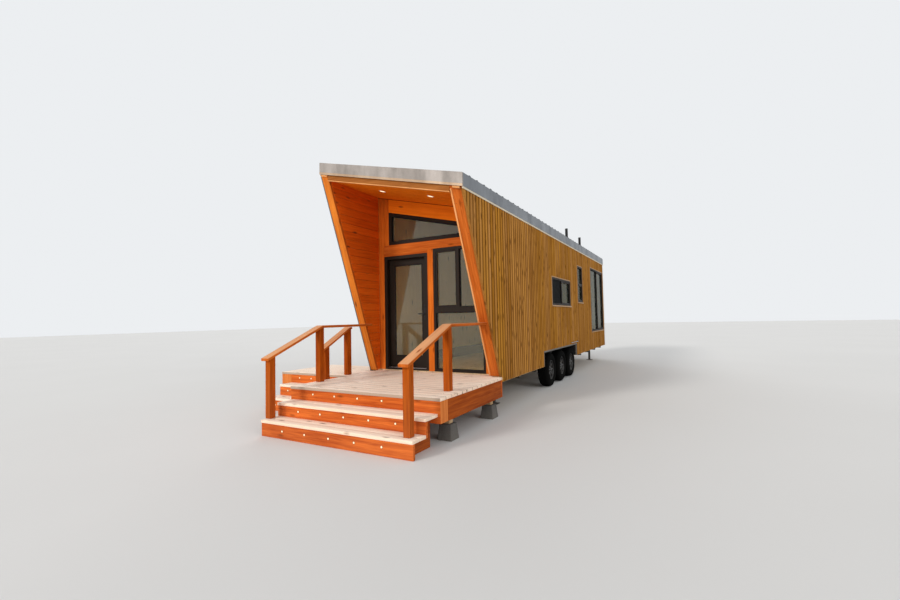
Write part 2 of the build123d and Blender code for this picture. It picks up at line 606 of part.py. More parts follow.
def trailer_nodes():
    """Add the trailer's frame, tongue, coupler, jack, legs and axles."""
    frame_z = (FRAME_BOTTOM, SIDING_BOTTOM)
    half_rail = FRAME_RAIL_WIDTH / 2
    frame = block((-HALF_ROOM, HALF_ROOM), (HOUSE_LENGTH - CROSS_MEMBER_WIDTH, HOUSE_LENGTH), frame_z)
    for side in (-1, 1):
        rail_x = (side * FRAME_RAIL_X - half_rail, side * FRAME_RAIL_X + half_rail)
        frame += block(rail_x, (FRONT_CROSS_MEMBERS[0], HOUSE_LENGTH), frame_z)
    before_well = WHEEL_WELL_FRONT - CROSS_MEMBER_FROM_WELL - CROSS_MEMBER_WIDTH
    members = [*FRONT_CROSS_MEMBERS, before_well, WHEEL_WELL_REAR + CROSS_MEMBER_FROM_WELL]
    members += [HOUSE_LENGTH - CROSS_MEMBER_WIDTH - spot for spot in REAR_CROSS_MEMBERS]
    for y in members:
        frame += block((-HALF_ROOM, HALF_ROOM), (y, y + CROSS_MEMBER_WIDTH), frame_z)
    nodes["trailer_frame"] = frame

    nose_y = (TONGUE_NOSE - TONGUE_NOSE_LENGTH, TONGUE_NOSE)
    tongue = block((-TONGUE_NOSE_WIDTH / 2, TONGUE_NOSE_WIDTH / 2), nose_y, frame_z)
    for side in (-1, 1):
        outer = side * (FRAME_RAIL_X + half_rail)
        nose = side * TONGUE_NOSE_WIDTH / 2
        beam = [
            (outer, HOUSE_LENGTH),
            (nose, nose_y[0] + TONGUE_BEAM_WIDTH),
            (nose, nose_y[0]),
            (nose - side * TONGUE_BEAM_WIDTH, nose_y[0]),
            (outer - side * TONGUE_BEAM_FOOT, HOUSE_LENGTH),
        ]
        tongue += prism_along_z(beam, frame_z)
    jack_y = TONGUE_NOSE - TONGUE_NOSE_LENGTH / 2
    tongue -= rod_along_z(0, jack_y, (FRAME_BOTTOM - 1, SIDING_BOTTOM + 1), JACK_TUBE_RADIUS + JACK_CLEARANCE)
    nodes["tongue"] = tongue

    half_coupler = COUPLER_WIDTH / 2
    ball_y = TONGUE_NOSE + COUPLER_LENGTH - half_coupler
    coupler = block(
        (-half_coupler, half_coupler), (TONGUE_NOSE, ball_y), (SIDING_BOTTOM - COUPLER_HEIGHT, SIDING_BOTTOM)
    )
    coupler += rod_along_z(0, ball_y, (SIDING_BOTTOM - COUPLER_HEIGHT, SIDING_BOTTOM), half_coupler)
    socket_z = SIDING_BOTTOM - COUPLER_HEIGHT + COUPLER_BALL_RADIUS
    coupler -= Pos(0, ball_y, socket_z) * Sphere(COUPLER_BALL_RADIUS)
    coupler -= rod_along_z(0, ball_y, (0, socket_z), COUPLER_BALL_RADIUS)
    nodes["coupler"] = coupler

    half_flange = JACK_FLANGE / 2
    jack = rod_along_z(0, jack_y, (FOOT_THICKNESS, JACK_TUBE_TOP), JACK_TUBE_RADIUS)
    jack += block(
        (-half_flange, half_flange), (jack_y - half_flange, jack_y + half_flange),
        (SIDING_BOTTOM, SIDING_BOTTOM + FOOT_THICKNESS),
    )
    jack += foot(0, jack_y)
    crank_z = JACK_TUBE_TOP - JACK_CRANK_DROP
    jack += rod_along_x((0, JACK_CRANK_REACH), jack_y, crank_z, JACK_CRANK_RADIUS)
    grip_x = JACK_CRANK_REACH - 2 * JACK_CRANK_RADIUS
    grip_z = (crank_z - JACK_GRIP_LENGTH, crank_z)
    jack += rod_along_z(grip_x, jack_y, grip_z, JACK_GRIP_RADIUS)
    nodes["tongue_jack"] = jack

    half_leg = LEG_WIDTH / 2
    legs = []
    for y in (LEG_FROM_FRONT, HOUSE_LENGTH - LEG_FROM_REAR):
        for side in (-1, 1):
            x = side * FRAME_RAIL_X
            leg_x, leg_y = (x - half_leg, x + half_leg), (y - half_leg, y + half_leg)
            legs.append(block(leg_x, leg_y, (FOOT_THICKNESS, FRAME_BOTTOM)) + foot(x, y))
    nodes["stabiliser_legs"] = Compound(legs)


def foot(x, y):
    """Return a square foot plate that stands on the ground."""
    half = FOOT_WIDTH / 2
    return block((x - half, x + half), (y - half, y + half), (0, FOOT_THICKNESS))


def tyre(side, y):
    """Return a tyre with rounded shoulders."""
    half = TYRE_WIDTH / 2
    bead = half - TYRE_SHOULDER / 2
    edge = half - TYRE_SHOULDER
    high, low = TYRE_RADIUS - TYRE_SHOULDER, RIM_RADIUS + TYRE_SHOULDER
    profile = make_face(
        Polyline(
            (RIM_RADIUS, -bead), (low, -half), (high, -half), (TYRE_RADIUS, -edge),
            (TYRE_RADIUS, edge), (high, half), (low, half), (RIM_RADIUS, bead), close=True,
        )
    )
    ring_shape = revolve(profile, Axis.Y)
    x = side * (TYRE_OUTER_X - half)
    return Pos(x, y, TYRE_RADIUS) * Rot(0, 0, 90) * ring_shape


def rim(side, y):
    """Return a wheel rim: a barrel, a disc with windows and a bored hub."""
    outer = side * (TYRE_OUTER_X - RIM_INSET)
    inner = side * (TYRE_OUTER_X - TYRE_WIDTH + RIM_INSET)
    disc_inner = outer - side * RIM_DISC
    barrel = rod_along_x(sorted((inner, outer)), y, TYRE_RADIUS, RIM_RADIUS)
    barrel -= rod_along_x(sorted((inner - side, disc_inner)), y, TYRE_RADIUS, RIM_RADIUS - RIM_BARREL)
    hub = rod_along_x(sorted((inner, outer)), y, TYRE_RADIUS, RIM_HUB_RADIUS)
    shape = barrel + hub
    window_radius = (RIM_RADIUS - RIM_BARREL + RIM_HUB_RADIUS) / 2
    window_size = (RIM_RADIUS - RIM_BARREL - RIM_HUB_RADIUS) / 2 - RIM_WINDOW_MARGIN
    for index in range(RIM_WINDOWS):
        angle = math.tau * index / RIM_WINDOWS
        z = TYRE_RADIUS + window_radius * math.sin(angle)
        spot = y + window_radius * math.cos(angle)
        shape -= rod_along_x(sorted((disc_inner - side, outer + side)), spot, z, window_size)
    bore_end = side * (SPINDLE_END + SPINDLE_END_GAP)
    bore = SPINDLE_RADIUS + SPINDLE_CLEARANCE
    return shape - rod_along_x(sorted((inner - side, bore_end)), y, TYRE_RADIUS, bore)


def wheel_nodes():
    """Add the axles and six wheels."""
    half_beam = AXLE_BEAM / 2
    axles = []
    for number, y in enumerate(AXLE_SPOTS, 1):
        beam = block(
            (-AXLE_HALF_LENGTH, AXLE_HALF_LENGTH), (y - half_beam, y + half_beam),
            (TYRE_RADIUS - half_beam, FRAME_BOTTOM),
        )
        beam += rod_along_x((-SPINDLE_END, SPINDLE_END), y, TYRE_RADIUS, SPINDLE_RADIUS)
        axles.append(beam)
        for side, name in ((-1, "left"), (1, "right")):
            nodes[f"tyre_{name}_{number}"] = tyre(side, y)
            nodes[f"rim_{name}_{number}"] = rim(side, y)
    nodes["axles"] = Compound(axles)


# Deck and steps

def flight(left, right, nosing):
    """Return a flight's treads, and its risers fused with their stringers; it comes down to the front."""
    treads, carriers = [], []
    for step in range(1, STEP_COUNT + 1):
        front = nosing - step * STEP_GOING
        z = DECK_TOP - step * STEP_RISE
        treads.append(block((left, right), (front, front + STEP_GOING + RISER_SETBACK), (z - DECK_BOARD, z)))
        riser_bottom = z - STEP_RISE - DECK_BOARD if step < STEP_COUNT else 0
        face = front + RISER_SETBACK
        riser_y = (face, face + STRINGER_THICKNESS)
        carriers.append(block((left, right), riser_y, (riser_bottom, z - DECK_BOARD)))
    inner_x = (
        left + STRINGER_INSET,
        (left + right - STRINGER_THICKNESS) / 2,
        right - STRINGER_INSET - STRINGER_THICKNESS,
    )
    for x in inner_x:
        for step in range(1, STEP_COUNT + 1):
            front = nosing - step * STEP_GOING + RISER_SETBACK + STRINGER_THICKNESS
            z = DECK_TOP - step * STEP_RISE - DECK_BOARD
            stringer_y = (front, nosing + RISER_SETBACK)
            carriers.append(block((x, x + STRINGER_THICKNESS), stringer_y, (max(z - STEP_RISE, 0), z)))
    carrier = carriers[0]
    for piece in carriers[1:]:
        carrier += piece
    return treads, carrier


def deck_frame(x_range, y_range):
    """Return a ring of rim boards with joists between them."""
    z_range = (DECK_TOP - DECK_BOARD - DECK_RIM_HEIGHT, DECK_TOP - DECK_BOARD)
    shape = block(x_range, y_range, z_range)
    inner_x = (x_range[0] + DECK_RIM, x_range[1] - DECK_RIM)
    inner_y = (y_range[0] + DECK_RIM, y_range[1] - DECK_RIM)
    shape -= block(inner_x, inner_y, z_range)
    over_piers = (x_range[0] + PIER_INSET_X, x_range[1] - PIER_INSET_X)
    span = over_piers[1] - over_piers[0]
    bays = math.ceil(span / JOIST_PITCH)
    for joist in range(bays + 1):
        x = over_piers[0] + span * joist / bays - DECK_RIM / 2
        shape += block((x, x + DECK_RIM), inner_y, z_range)
    return shape


def deck_nodes():
    """Add the deck, its landing, the steps and the pier blocks."""
    board_z = (DECK_TOP - DECK_BOARD, DECK_TOP)
    deck_x = (DECK_LEFT, DECK_RIGHT)
    porch_half = HALF_ROOM - DECK_HOUSE_GAP
    boards = block(deck_x, (DECK_FRONT, DECK_BACK_SIDE), board_z)
    boards += block((-porch_half, porch_half), (DECK_BACK_SIDE, 0), board_z)
    nodes["deck_boards"] = boards
    rim_front = DECK_FRONT + RISER_SETBACK
    nodes["deck_frame"] = deck_frame(deck_x, (rim_front, DECK_BACK_SIDE))
    landing_x = (LANDING_LEFT, DECK_LEFT)
    landing_back = LANDING_FRONT + LANDING_DEPTH
    house_side = -HALF_WIDTH - LANDING_HOUSE_GAP
    landing = block((LANDING_LEFT, house_side), (LANDING_FRONT, landing_back), board_z)
    landing += block((house_side, DECK_LEFT), (LANDING_FRONT, DECK_BACK_SIDE), board_z)
    nodes["landing_boards"] = landing
    rim_front = LANDING_FRONT + RISER_SETBACK
    landing_frame = deck_frame((LANDING_LEFT, house_side), (rim_front, landing_back))
    rim_z = (DECK_TOP - DECK_BOARD - DECK_RIM_HEIGHT, DECK_TOP - DECK_BOARD)
    landing_frame += block((house_side, DECK_LEFT), (rim_front, rim_front + DECK_RIM), rim_z)
    nodes["landing_frame"] = landing_frame

    steps_x = (DECK_LEFT + STEP_SIDE_INSET, DECK_RIGHT - STEP_SIDE_INSET)
    front_treads, front_carrier = flight(*steps_x, DECK_FRONT)
    side_treads, side_carrier = flight(LANDING_LEFT + SIDE_FLIGHT_INSET, DECK_LEFT, LANDING_FRONT)
    nodes["front_step_treads"] = Compound(front_treads)
    nodes["front_step_risers"] = front_carrier
    nodes["side_step_treads"] = Compound(side_treads)
    nodes["side_step_risers"] = side_carrier

    half_post = POST_WIDTH / 2
    spots = [
        (x, y)
        for x in (DECK_LEFT + PIER_INSET_X, DECK_RIGHT - PIER_INSET_X)
        for y in (DECK_FRONT + PIER_INSET_FRONT, DECK_BACK_SIDE - PIER_INSET_BACK)
    ]
    spots += [
        (x, y)
        for x in (LANDING_LEFT + PIER_INSET_X, house_side - PIER_INSET_X)
        for y in (LANDING_FRONT + PIER_INSET_BACK, landing_back - PIER_INSET_BACK)
    ]
    blocks, stubs = [], []
    for x, y in spots:
        base = Plane.XY * Rectangle(PIER_BASE_WIDTH, PIER_BASE_WIDTH)
        cap = Plane.XY.offset(PIER_HEIGHT) * Rectangle(PIER_TOP_WIDTH, PIER_TOP_WIDTH)
        blocks.append(Pos(x, y, 0) * loft([base, cap]))
        stub_x, stub_y = (x - half_post, x + half_post), (y - half_post, y + half_post)
        stubs.append(block(stub_x, stub_y, (PIER_HEIGHT, rim_z[0])))
    nodes["pier_blocks"] = Compound(blocks)
    nodes["pier_posts"] = Compound(stubs)


def rail_nodes():
    """Add the posts and handrails."""
    half = POST_WIDTH / 2
    low_tread = DECK_TOP - STEP_COUNT * STEP_RISE
    side_steps_front = LANDING_FRONT - STEP_COUNT * STEP_GOING
    high_y = DECK_FRONT + HIGH_POST_FROM_NOSING
    right_x = DECK_RIGHT - POST_INSET_RIGHT - half
    left_x = DECK_LEFT + POST_INSET_LEFT + half
    landing_x = DECK_LEFT - LANDING_POST_FROM_DECK - half
    landing_high_y = LANDING_FRONT + LANDING_POST_FROM_NOSING
    runs = [
        (right_x, STEPS_FRONT, high_y, RAIL_HEIGHT, LOW_POST_RISE, 1),
        (left_x, STEPS_FRONT, high_y, RAIL_HEIGHT, LOW_POST_RISE, -1),
        (landing_x, side_steps_front, landing_high_y, LANDING_RAIL_HEIGHT, LANDING_LOW_POST_RISE, 0),
    ]
    posts, rails = [], []
    for x, lowest_nosing, high_y, rail_height, low_rise, porch_side in runs:
        rail_under = DECK_TOP + rail_height - RAIL_THICKNESS
        low_y = lowest_nosing + LOW_POST_FROM_NOSING + half
        post_x = (x - half, x + half)
        low_under = low_tread + low_rise
        slope = (rail_under - low_under) / (high_y - low_y)

        def sloped(y):
            """Return the rail's underside at y."""
            return low_under + (y - low_y) * slope

        posts.append(
            prism_along_x(
                [(low_y - half, low_tread), (low_y + half, low_tread), (low_y + half, sloped(low_y + half)),
                 (low_y - half, sloped(low_y - half))], post_x,
            )
        )
        posts.append(
            prism_along_x(
                [(high_y - half, DECK_TOP), (high_y + half, DECK_TOP), (high_y + half, rail_under),
                 (high_y, rail_under), (high_y - half, sloped(high_y - half))], post_x,
            )
        )
        tail = low_y - RAIL_TAIL
        points = [(tail, sloped(tail)), (high_y, rail_under)]
        top = [(high_y, rail_under + RAIL_THICKNESS), (tail, sloped(tail) + RAIL_THICKNESS)]
        if porch_side:
            trim_low = rake_front(porch_side, rail_under) - PORCH_TRIM_THICKNESS
            trim_high = rake_front(porch_side, rail_under + RAIL_THICKNESS) - PORCH_TRIM_THICKNESS
            points.append((trim_low, rail_under))
            top.insert(0, (trim_high, rail_under + RAIL_THICKNESS))
        else:
            points.append((high_y + half, rail_under))
            top.insert(0, (high_y + half, rail_under + RAIL_THICKNESS))
        rails.append(prism_along_x(points + top, (x - RAIL_WIDTH / 2, x + RAIL_WIDTH / 2)))
    nodes["handrails"] = Compound(rails)
    nodes["railing_posts"] = Compound(posts)


shell_nodes()
roof_nodes()
hinge_axis = door_nodes()
front_window_nodes()
side_window_nodes()
trailer_nodes()
wheel_nodes()
deck_nodes()
rail_nodes()

os.makedirs("parts", exist_ok=True)
to_origin = Pos(-ORIGIN_X, -ORIGIN_Y, 0)
for name, shape in nodes.items():
    export_step(to_origin * shape, f"parts/{name}.step")
print("nodes", len(nodes))
print("door hinge x, y (mm)", round(hinge_axis[0] - ORIGIN_X, 3), round(hinge_axis[1] - ORIGIN_Y, 3))
print("axle y (mm)", [round(y - ORIGIN_Y, 3) for y in AXLE_SPOTS], "wheel centre x (mm)", -ORIGIN_X)
print("origin x, y (mm)", ORIGIN_X, ORIGIN_Y)
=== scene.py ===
"""Looks for a tiny house on wheels: boards, trims, roof seams, windows, deck, steps and wheels.

Every size is in metres. Pieces are modelled in the house's own frame, with x = 0 on its centre line,
y = 0 on the outer face of the recessed front wall and z = 0 on the ground, and then settle into the
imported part's frame.
"""

import logging
import math
from collections.abc import Callable, Iterable, Sequence
from dataclasses import dataclass
from enum import Enum
from typing import Any

import bpy
from mathutils import Matrix, Vector

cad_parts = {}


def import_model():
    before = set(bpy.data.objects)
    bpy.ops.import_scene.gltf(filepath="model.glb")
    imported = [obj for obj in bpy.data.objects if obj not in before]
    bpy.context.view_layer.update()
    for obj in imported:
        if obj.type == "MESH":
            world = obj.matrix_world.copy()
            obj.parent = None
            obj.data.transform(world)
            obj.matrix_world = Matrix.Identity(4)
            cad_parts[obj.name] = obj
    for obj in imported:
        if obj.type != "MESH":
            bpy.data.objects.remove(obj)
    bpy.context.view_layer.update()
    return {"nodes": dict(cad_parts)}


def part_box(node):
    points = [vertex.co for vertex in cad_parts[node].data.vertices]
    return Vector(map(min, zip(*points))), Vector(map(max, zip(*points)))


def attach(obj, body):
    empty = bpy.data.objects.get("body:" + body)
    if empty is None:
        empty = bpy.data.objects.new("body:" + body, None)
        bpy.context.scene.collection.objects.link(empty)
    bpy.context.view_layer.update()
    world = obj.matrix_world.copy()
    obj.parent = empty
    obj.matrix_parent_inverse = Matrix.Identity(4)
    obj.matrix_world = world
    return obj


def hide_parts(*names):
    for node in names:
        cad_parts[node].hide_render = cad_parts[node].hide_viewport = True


LOG = logging.getLogger("tiny_house")
Triple = tuple[float, float, float]
Colour = tuple[float, float, float]
Span = tuple[float, float]
Opening = tuple[Span, Span]
Section = Sequence[tuple[float, float]]
Object = bpy.types.Object
Node = bpy.types.Node
Socket = bpy.types.NodeSocket
Material = bpy.types.Material
NodeGroup = bpy.types.NodeTree

HOUSE = "house"
DOOR = "front_door"
QUARTER = math.pi / 2
SHARP = math.radians(40)
FACES_UP = 0.9
AROUND_PLANE = (0, 1, 3, 2)


class Along(Enum):
    """The axis of a board's grain and the axis on which boards lie side by side.

    Each value is the turn that lays the first on X and the second on Y.
    """

    X_BY_Y = (0.0, 0.0, 0.0)
    X_BY_Z = (-QUARTER, 0.0, 0.0)
    Y_BY_X = (0.0, 0.0, -QUARTER)
    Y_BY_Z = (-QUARTER, -QUARTER, 0.0)
    Z_BY_Y = (0.0, QUARTER, 0.0)
    Z_BY_X = (QUARTER, 0.0, QUARTER)


class Side(Enum):
    """A side of the house, as the sign of its x."""

    LEFT = -1
    RIGHT = 1

    @property
    def word(self) -> str:
        """Return the side's name as it stands in the names of pieces."""
        return self.name.lower()


@dataclass(frozen=True)
class Box:
    """A block between two corners, in the house's frame."""

    low: Triple
    high: Triple

    @property
    def middle(self) -> Triple:
        """Return the block's centre."""
        return tuple((a + b) / 2 for a, b in zip(self.low, self.high))

    @property
    def size(self) -> Triple:
        """Return the block's three sizes."""
        return tuple(b - a for a, b in zip(self.low, self.high))


def box(x: Span, y: Span, z: Span) -> Box:
    """Return the block that fills three spans, given in either order."""
    spans = [sorted(span) for span in (x, y, z)]
    return Box(tuple(s[0] for s in spans), tuple(s[1] for s in spans))


@dataclass(frozen=True)
class HouseSizes:
    """Main sizes of the house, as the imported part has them."""

    half_width: float = 1.295
    half_room: float = 1.155
    length: float = 9.37
    siding_foot: float = 0.494
    floor_top: float = 0.60
    eave_right: float = 3.48
    half_roof: float = 1.315
    roof_fall: float = 0.63 / 2.63
    roof_depth: float = 0.19
    roof_front: float = -1.34
    roof_rear: float = 9.40
    porch_foot: float = 0.115
    porch_reach: float = 1.315
    trim_thickness: float = 0.04
    siding_thickness: float = 0.007
    porch_lining: float = 0.008
    ceiling_thickness: float = 0.065
    door: Opening = ((-1.029, -0.086), (0.60, 2.675))
    window: Opening = ((0.029, 1.002), (0.60, 2.734))
    transom_x: Span = (-0.918, 0.950)
    transom_sill: float = 2.885
    transom_drop: float = 0.323
    right_windows: tuple[Opening, ...] = (
        ((2.92, 4.55), (1.76, 2.38)), ((5.41, 5.98), (1.88, 2.86)), ((7.15, 9.15), (1.03, 2.97)),
    )
    left_windows: tuple[Opening, ...] = (((4.7, 6.33), (1.76, 2.38)), ((7.3, 8.93), (1.76, 2.38)))
    window_bar: float = 0.045
    well_y: Span = (2.20, 5.06)
    well_top: float = 0.777

    @property
    def siding_face(self) -> float:
        """Return how far the boards' outer face stands from the centre line."""
        return self.half_width + self.siding_thickness

    @property
    def half_porch(self) -> float:
        """Return half the porch's width between its boarded sides."""
        return self.half_room - self.porch_lining

    def windows(self, side: Side) -> tuple[Opening, ...]:
        """Return the windows in a long wall, each as its spans along Y and Z."""
        return self.right_windows if side is Side.RIGHT else self.left_windows

    def roof_top(self, x: float) -> float:
        """Return the height of the roof's top at x."""
        return self.eave_right + (self.half_roof - x) * self.roof_fall

    def roof_under(self, x: float) -> float:
        """Return the height of the roof's underside at x."""
        return self.roof_top(x) - self.roof_depth

    def rake(self, side: Side) -> float:
        """Return how far a porch side's edge leans forward for each metre up."""
        rise = self.roof_under(side.value * self.half_room) - self.floor_top
        return (self.porch_reach - self.porch_foot) / rise

    def rake_front(self, side: Side, z: float) -> float:
        """Return the y of a leaning porch trim's front face at a height."""
        return -self.porch_foot - self.rake(side) * (z - self.floor_top)


@dataclass(frozen=True)
class DeckSizes:
    """Main sizes of the deck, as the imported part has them."""

    top: float = 0.58
    plank: float = 0.145
    plank_thickness: float = 0.038
    plank_gap: float = 0.005
    left: float = -1.15
    right: float = 1.345
    front: float = -2.09
    gap_at_wall: float = -0.17
    nosing: float = 0.012
    landing_x: Span = (-2.75, -1.315)
    landing_y: Span = (-0.90, 0.40)
    timber: float = 0.038
    frame_foot: float = 0.28
    run: float = 0.262
    tread_drop: float = 0.183
    deck_joists: Span = (-1.02, 1.215)
    landing_joists: Span = (-2.62, -1.445)
    joist_pitch: float = 0.42

    @property
    def under(self) -> float:
        """Return the height of the planks' underside."""
        return self.top - self.plank_thickness

    def planks(self, y: Span) -> list[Span]:
        """Return the planks that fill a span along Y."""
        return spread(*y, self.plank, self.plank_gap)

    def joists(self, piers: Span) -> list[float]:
        """Return the middles of the joists between the first and the last pier, both included."""
        bays = math.ceil((piers[1] - piers[0]) / self.joist_pitch)
        return [piers[0] + (piers[1] - piers[0]) * joist / bays for joist in range(bays + 1)]

    def step(self, nosing: float, number: int) -> tuple[float, float]:
        """Return the front and the top of a step, counted down from the nosing over the flight."""
        return nosing - self.run * number, self.top - self.tread_drop * number


@dataclass(frozen=True)
class Flight:
    """A flight of two steps down from the deck or its landing."""

    name: str
    x: Span
    tread_x: Span
    nosing: float
    steps: tuple[int, ...] = (1, 2)
    inset: float = 0.129

    @property
    def stringers(self) -> Triple:
        """Return the middles of the three stringers, the outer ones at an inset from the ends."""
        low, high = self.x
        return low + self.inset, (low + high) / 2, high - self.inset


SIZES = HouseSizes()
DECK = DeckSizes()
FLIGHTS = (
    Flight("front", (-1.11, 1.305), (-1.11, 1.305), DECK.front),
    Flight("side", (-2.50, -1.15), (-2.50, -1.155), DECK.landing_y[0]),
)


# Modelling by hand: selection, primitives, edit mode operators and modifiers


def leave_edit() -> None:
    """Return to object mode."""
    bpy.ops.object.mode_set(mode="OBJECT")


def clear_selection() -> None:
    """Leave edit mode and deselect every object."""
    active = bpy.context.view_layer.objects.active
    if active is not None and active.mode != "OBJECT":
        leave_edit()
    bpy.ops.object.select_all(action="DESELECT")


def choose(obj: Object) -> None:
    """Make one object the only selected one and the active one.

    Args:
        obj: The object.
    """
    clear_selection()
    obj.select_set(True)
    bpy.context.view_layer.objects.active = obj


def pick_top(obj: Object) -> None:
    """Enter edit mode with only the faces that look up selected.

    Args:
        obj: The object to edit.
    """
    choose(obj)
    mesh = obj.data
    wanted = [face.normal.z > FACES_UP for face in mesh.polygons]
    mesh.vertices.foreach_set("select", [False] * len(mesh.vertices))
    mesh.edges.foreach_set("select", [False] * len(mesh.edges))
    mesh.polygons.foreach_set("select", wanted)
    bpy.ops.object.mode_set(mode="EDIT")
    bpy.ops.mesh.select_mode(type="FACE")


def edit_all(obj: Object) -> None:
    """Enter edit mode with the whole mesh selected.

    Args:
        obj: The object to edit.
    """
    choose(obj)
    bpy.ops.object.mode_set(mode="EDIT")
    bpy.ops.mesh.select_all(action="SELECT")


def named(name: str) -> Object:
    """Name the active object and move its place into its mesh.

    Args:
        name: The object's name.

    Returns:
        The object.
    """
    obj = bpy.context.view_layer.objects.active
    obj.name = obj.data.name = name
    bpy.ops.object.transform_apply(location=True, rotation=True, scale=True)
    return obj


def start_block(name: str, block: Box) -> Object:
    """Add a cube primitive that fills a block, as the start of a piece.

    Args:
        name: The object's name.
        block: The block to fill.

    Returns:
        The new object, with its place in its mesh.
    """
    clear_selection()
    bpy.ops.mesh.primitive_cube_add(size=1.0, location=block.middle, scale=block.size)
    return named(name)


def start_tube(name: str, centre: Triple, radius: float, depth: float, sides: int, axis: str = "Z") -> Object:
    """Add a cylinder primitive along an axis, as the start of a piece.

    Args:
        name: The object's name.
        centre: The cylinder's middle.
        radius: Its radius.
        depth: Its length.
        sides: How many sides it has.
        axis: X, Y or Z.

    Returns:
        The new object, with its place in its mesh.
    """
    turn = {"X": (0, QUARTER, 0), "Y": (QUARTER, 0, 0), "Z": (0, 0, 0)}[axis]
    clear_selection()
    bpy.ops.mesh.primitive_cylinder_add(
        vertices=sides, radius=radius, depth=depth, location=centre, rotation=turn
    )
    return named(name)


def shape_top(obj: Object, scale: Triple, about: Triple, move: Triple = (0.0, 0.0, 0.0)) -> Object:
    """Resize and move the top of a piece.

    Args:
        obj: The piece.
        scale: How the top's size changes.
        about: The point that it shrinks to.
        move: How it moves after that.

    Returns:
        The piece.
    """
    pick_top(obj)
    bpy.ops.transform.resize(value=scale, center_override=about)
    bpy.ops.transform.translate(value=move)
    leave_edit()
    return obj


def bevel_all(obj: Object, width: float, segments: int = 1) -> Object:
    """Round every edge of a piece.

    Args:
        obj: The piece.
        width: The rounding's width.
        segments: Its number of steps.

    Returns:
        The piece.
    """
    edit_all(obj)
    bpy.ops.mesh.bevel(offset=width, segments=segments, affect="EDGES")
    leave_edit()
    return obj


def apply_modifier(obj: Object, kind: str, **settings: Any) -> None:
    """Add a modifier, set it and apply it.

    Args:
        obj: The piece.
        kind: The modifier's type.
        settings: Its settings.
    """
    choose(obj)
    modifier = obj.modifiers.new(kind.title(), kind)
    for key, value in settings.items():
        setattr(modifier, key, value)
    bpy.ops.object.modifier_apply(modifier=modifier.name)


def join(name: str, parts: Sequence[Object]) -> Object:
    """Join pieces into one object.

    Args:
        name: The new name.
        parts: The pieces.

    Returns:
        The joined object.
    """
    clear_selection()
    for part in parts:
        part.select_set(True)
    first = parts[0]
    bpy.context.view_layer.objects.active = first
    if len(parts) > 1:
        bpy.ops.object.join()
    first.name = first.data.name = name
    return first


def remove(obj: Object) -> None:
    """Delete an object and its mesh.

    Args:
        obj: The object.
    """
    mesh = obj.data
    bpy.data.objects.remove(obj)
    bpy.data.meshes.remove(mesh)


def copy_of(obj: Object, move: Matrix) -> Object:
    """Copy a piece, its mesh too, and move the copy.

    Args:
        obj: The piece.
        move: How the copy's mesh moves.

    Returns:
        The copy.
    """
    twin = obj.copy()
    twin.data = obj.data.copy()
    twin.data.transform(move)
    bpy.context.scene.collection.objects.link(twin)
    return twin


def copies(name: str, template: Object, moves: Iterable[Matrix]) -> Object:
    """Copy a piece to many places, join the copies and delete the piece.

    Args:
        name: The joined object's name.
        template: The piece.
        moves: How each copy's mesh moves.

    Returns:
        The copies as one object.
    """
    twins = [copy_of(template, move) for move in moves]
    remove(template)
    return join(name, twins)


def stretched(obj: Object, block: Box) -> Object:
    """Copy a rounded unit block so that it fills another block, with its rounding as it was.

    Args:
        obj: A block centred on the origin.
        block: The block to fill.

    Returns:
        The copy.
    """
    twin = copy_of(obj, Matrix.Identity(4))
    half = Vector(obj.dimensions) / 2
    for vertex in twin.data.vertices:
        for axis in range(3):
            at = vertex.co[axis]
            corner = block.low[axis] + half[axis] if at < 0 else block.high[axis] - half[axis]
            vertex.co[axis] = corner + at
    return twin


def lay(name: str, blocks: Iterable[Box], edge: float, segments: int = 1) -> Object:
    """Lay rounded boards: one is modelled, and the others are its copies.

    Args:
        name: The joined object's name.
        blocks: The block that each board fills.
        edge: The width of the rounding of its edges.
        segments: The rounding's number of steps.

    Returns:
        The boards as one object.
    """
    half = 4 * edge
    template = start_block(name + "_template", Box((-half,) * 3, (half,) * 3))
    bevel_all(template, edge, segments)
    bpy.context.view_layer.update()
    boards = [stretched(template, block) for block in blocks]
    remove(template)
    return join(name, boards)


def lift(obj: Object, height: Callable[[Vector], float]) -> Object:
    """Raise each point of a piece by a height that depends on its place.

    Args:
        obj: The piece.
        height: The height for a place.

    Returns:
        The piece.
    """
    for vertex in obj.data.vertices:
        vertex.co.z += height(vertex.co)
    return obj


def hang(obj: Object, drop: float = 0.0) -> Object:
    """Lift a flat piece to a distance under the roof's sloping underside."""
    return lift(obj, lambda at: SIZES.roof_under(at.x) - drop)


def cut(obj: Object, blocks: Sequence[Box]) -> None:
    """Cut blocks out of a piece.

    Args:
        obj: The piece.
        blocks: What is cut away.
    """
    tool = join("cutter", [start_block("cutter", block) for block in blocks])
    apply_modifier(obj, "BOOLEAN", operation="DIFFERENCE", solver="EXACT", object=tool)
    remove(tool)


def slice_off(obj: Object, point: Triple, normal: Triple) -> None:
    """Cut a piece by a plane and close the cut.

    Args:
        obj: The piece.
        point: A point of the plane.
        normal: The side that is cut away.
    """
    edit_all(obj)
    bpy.ops.mesh.bisect(plane_co=point, plane_no=normal, use_fill=True, clear_outer=True)
    leave_edit()


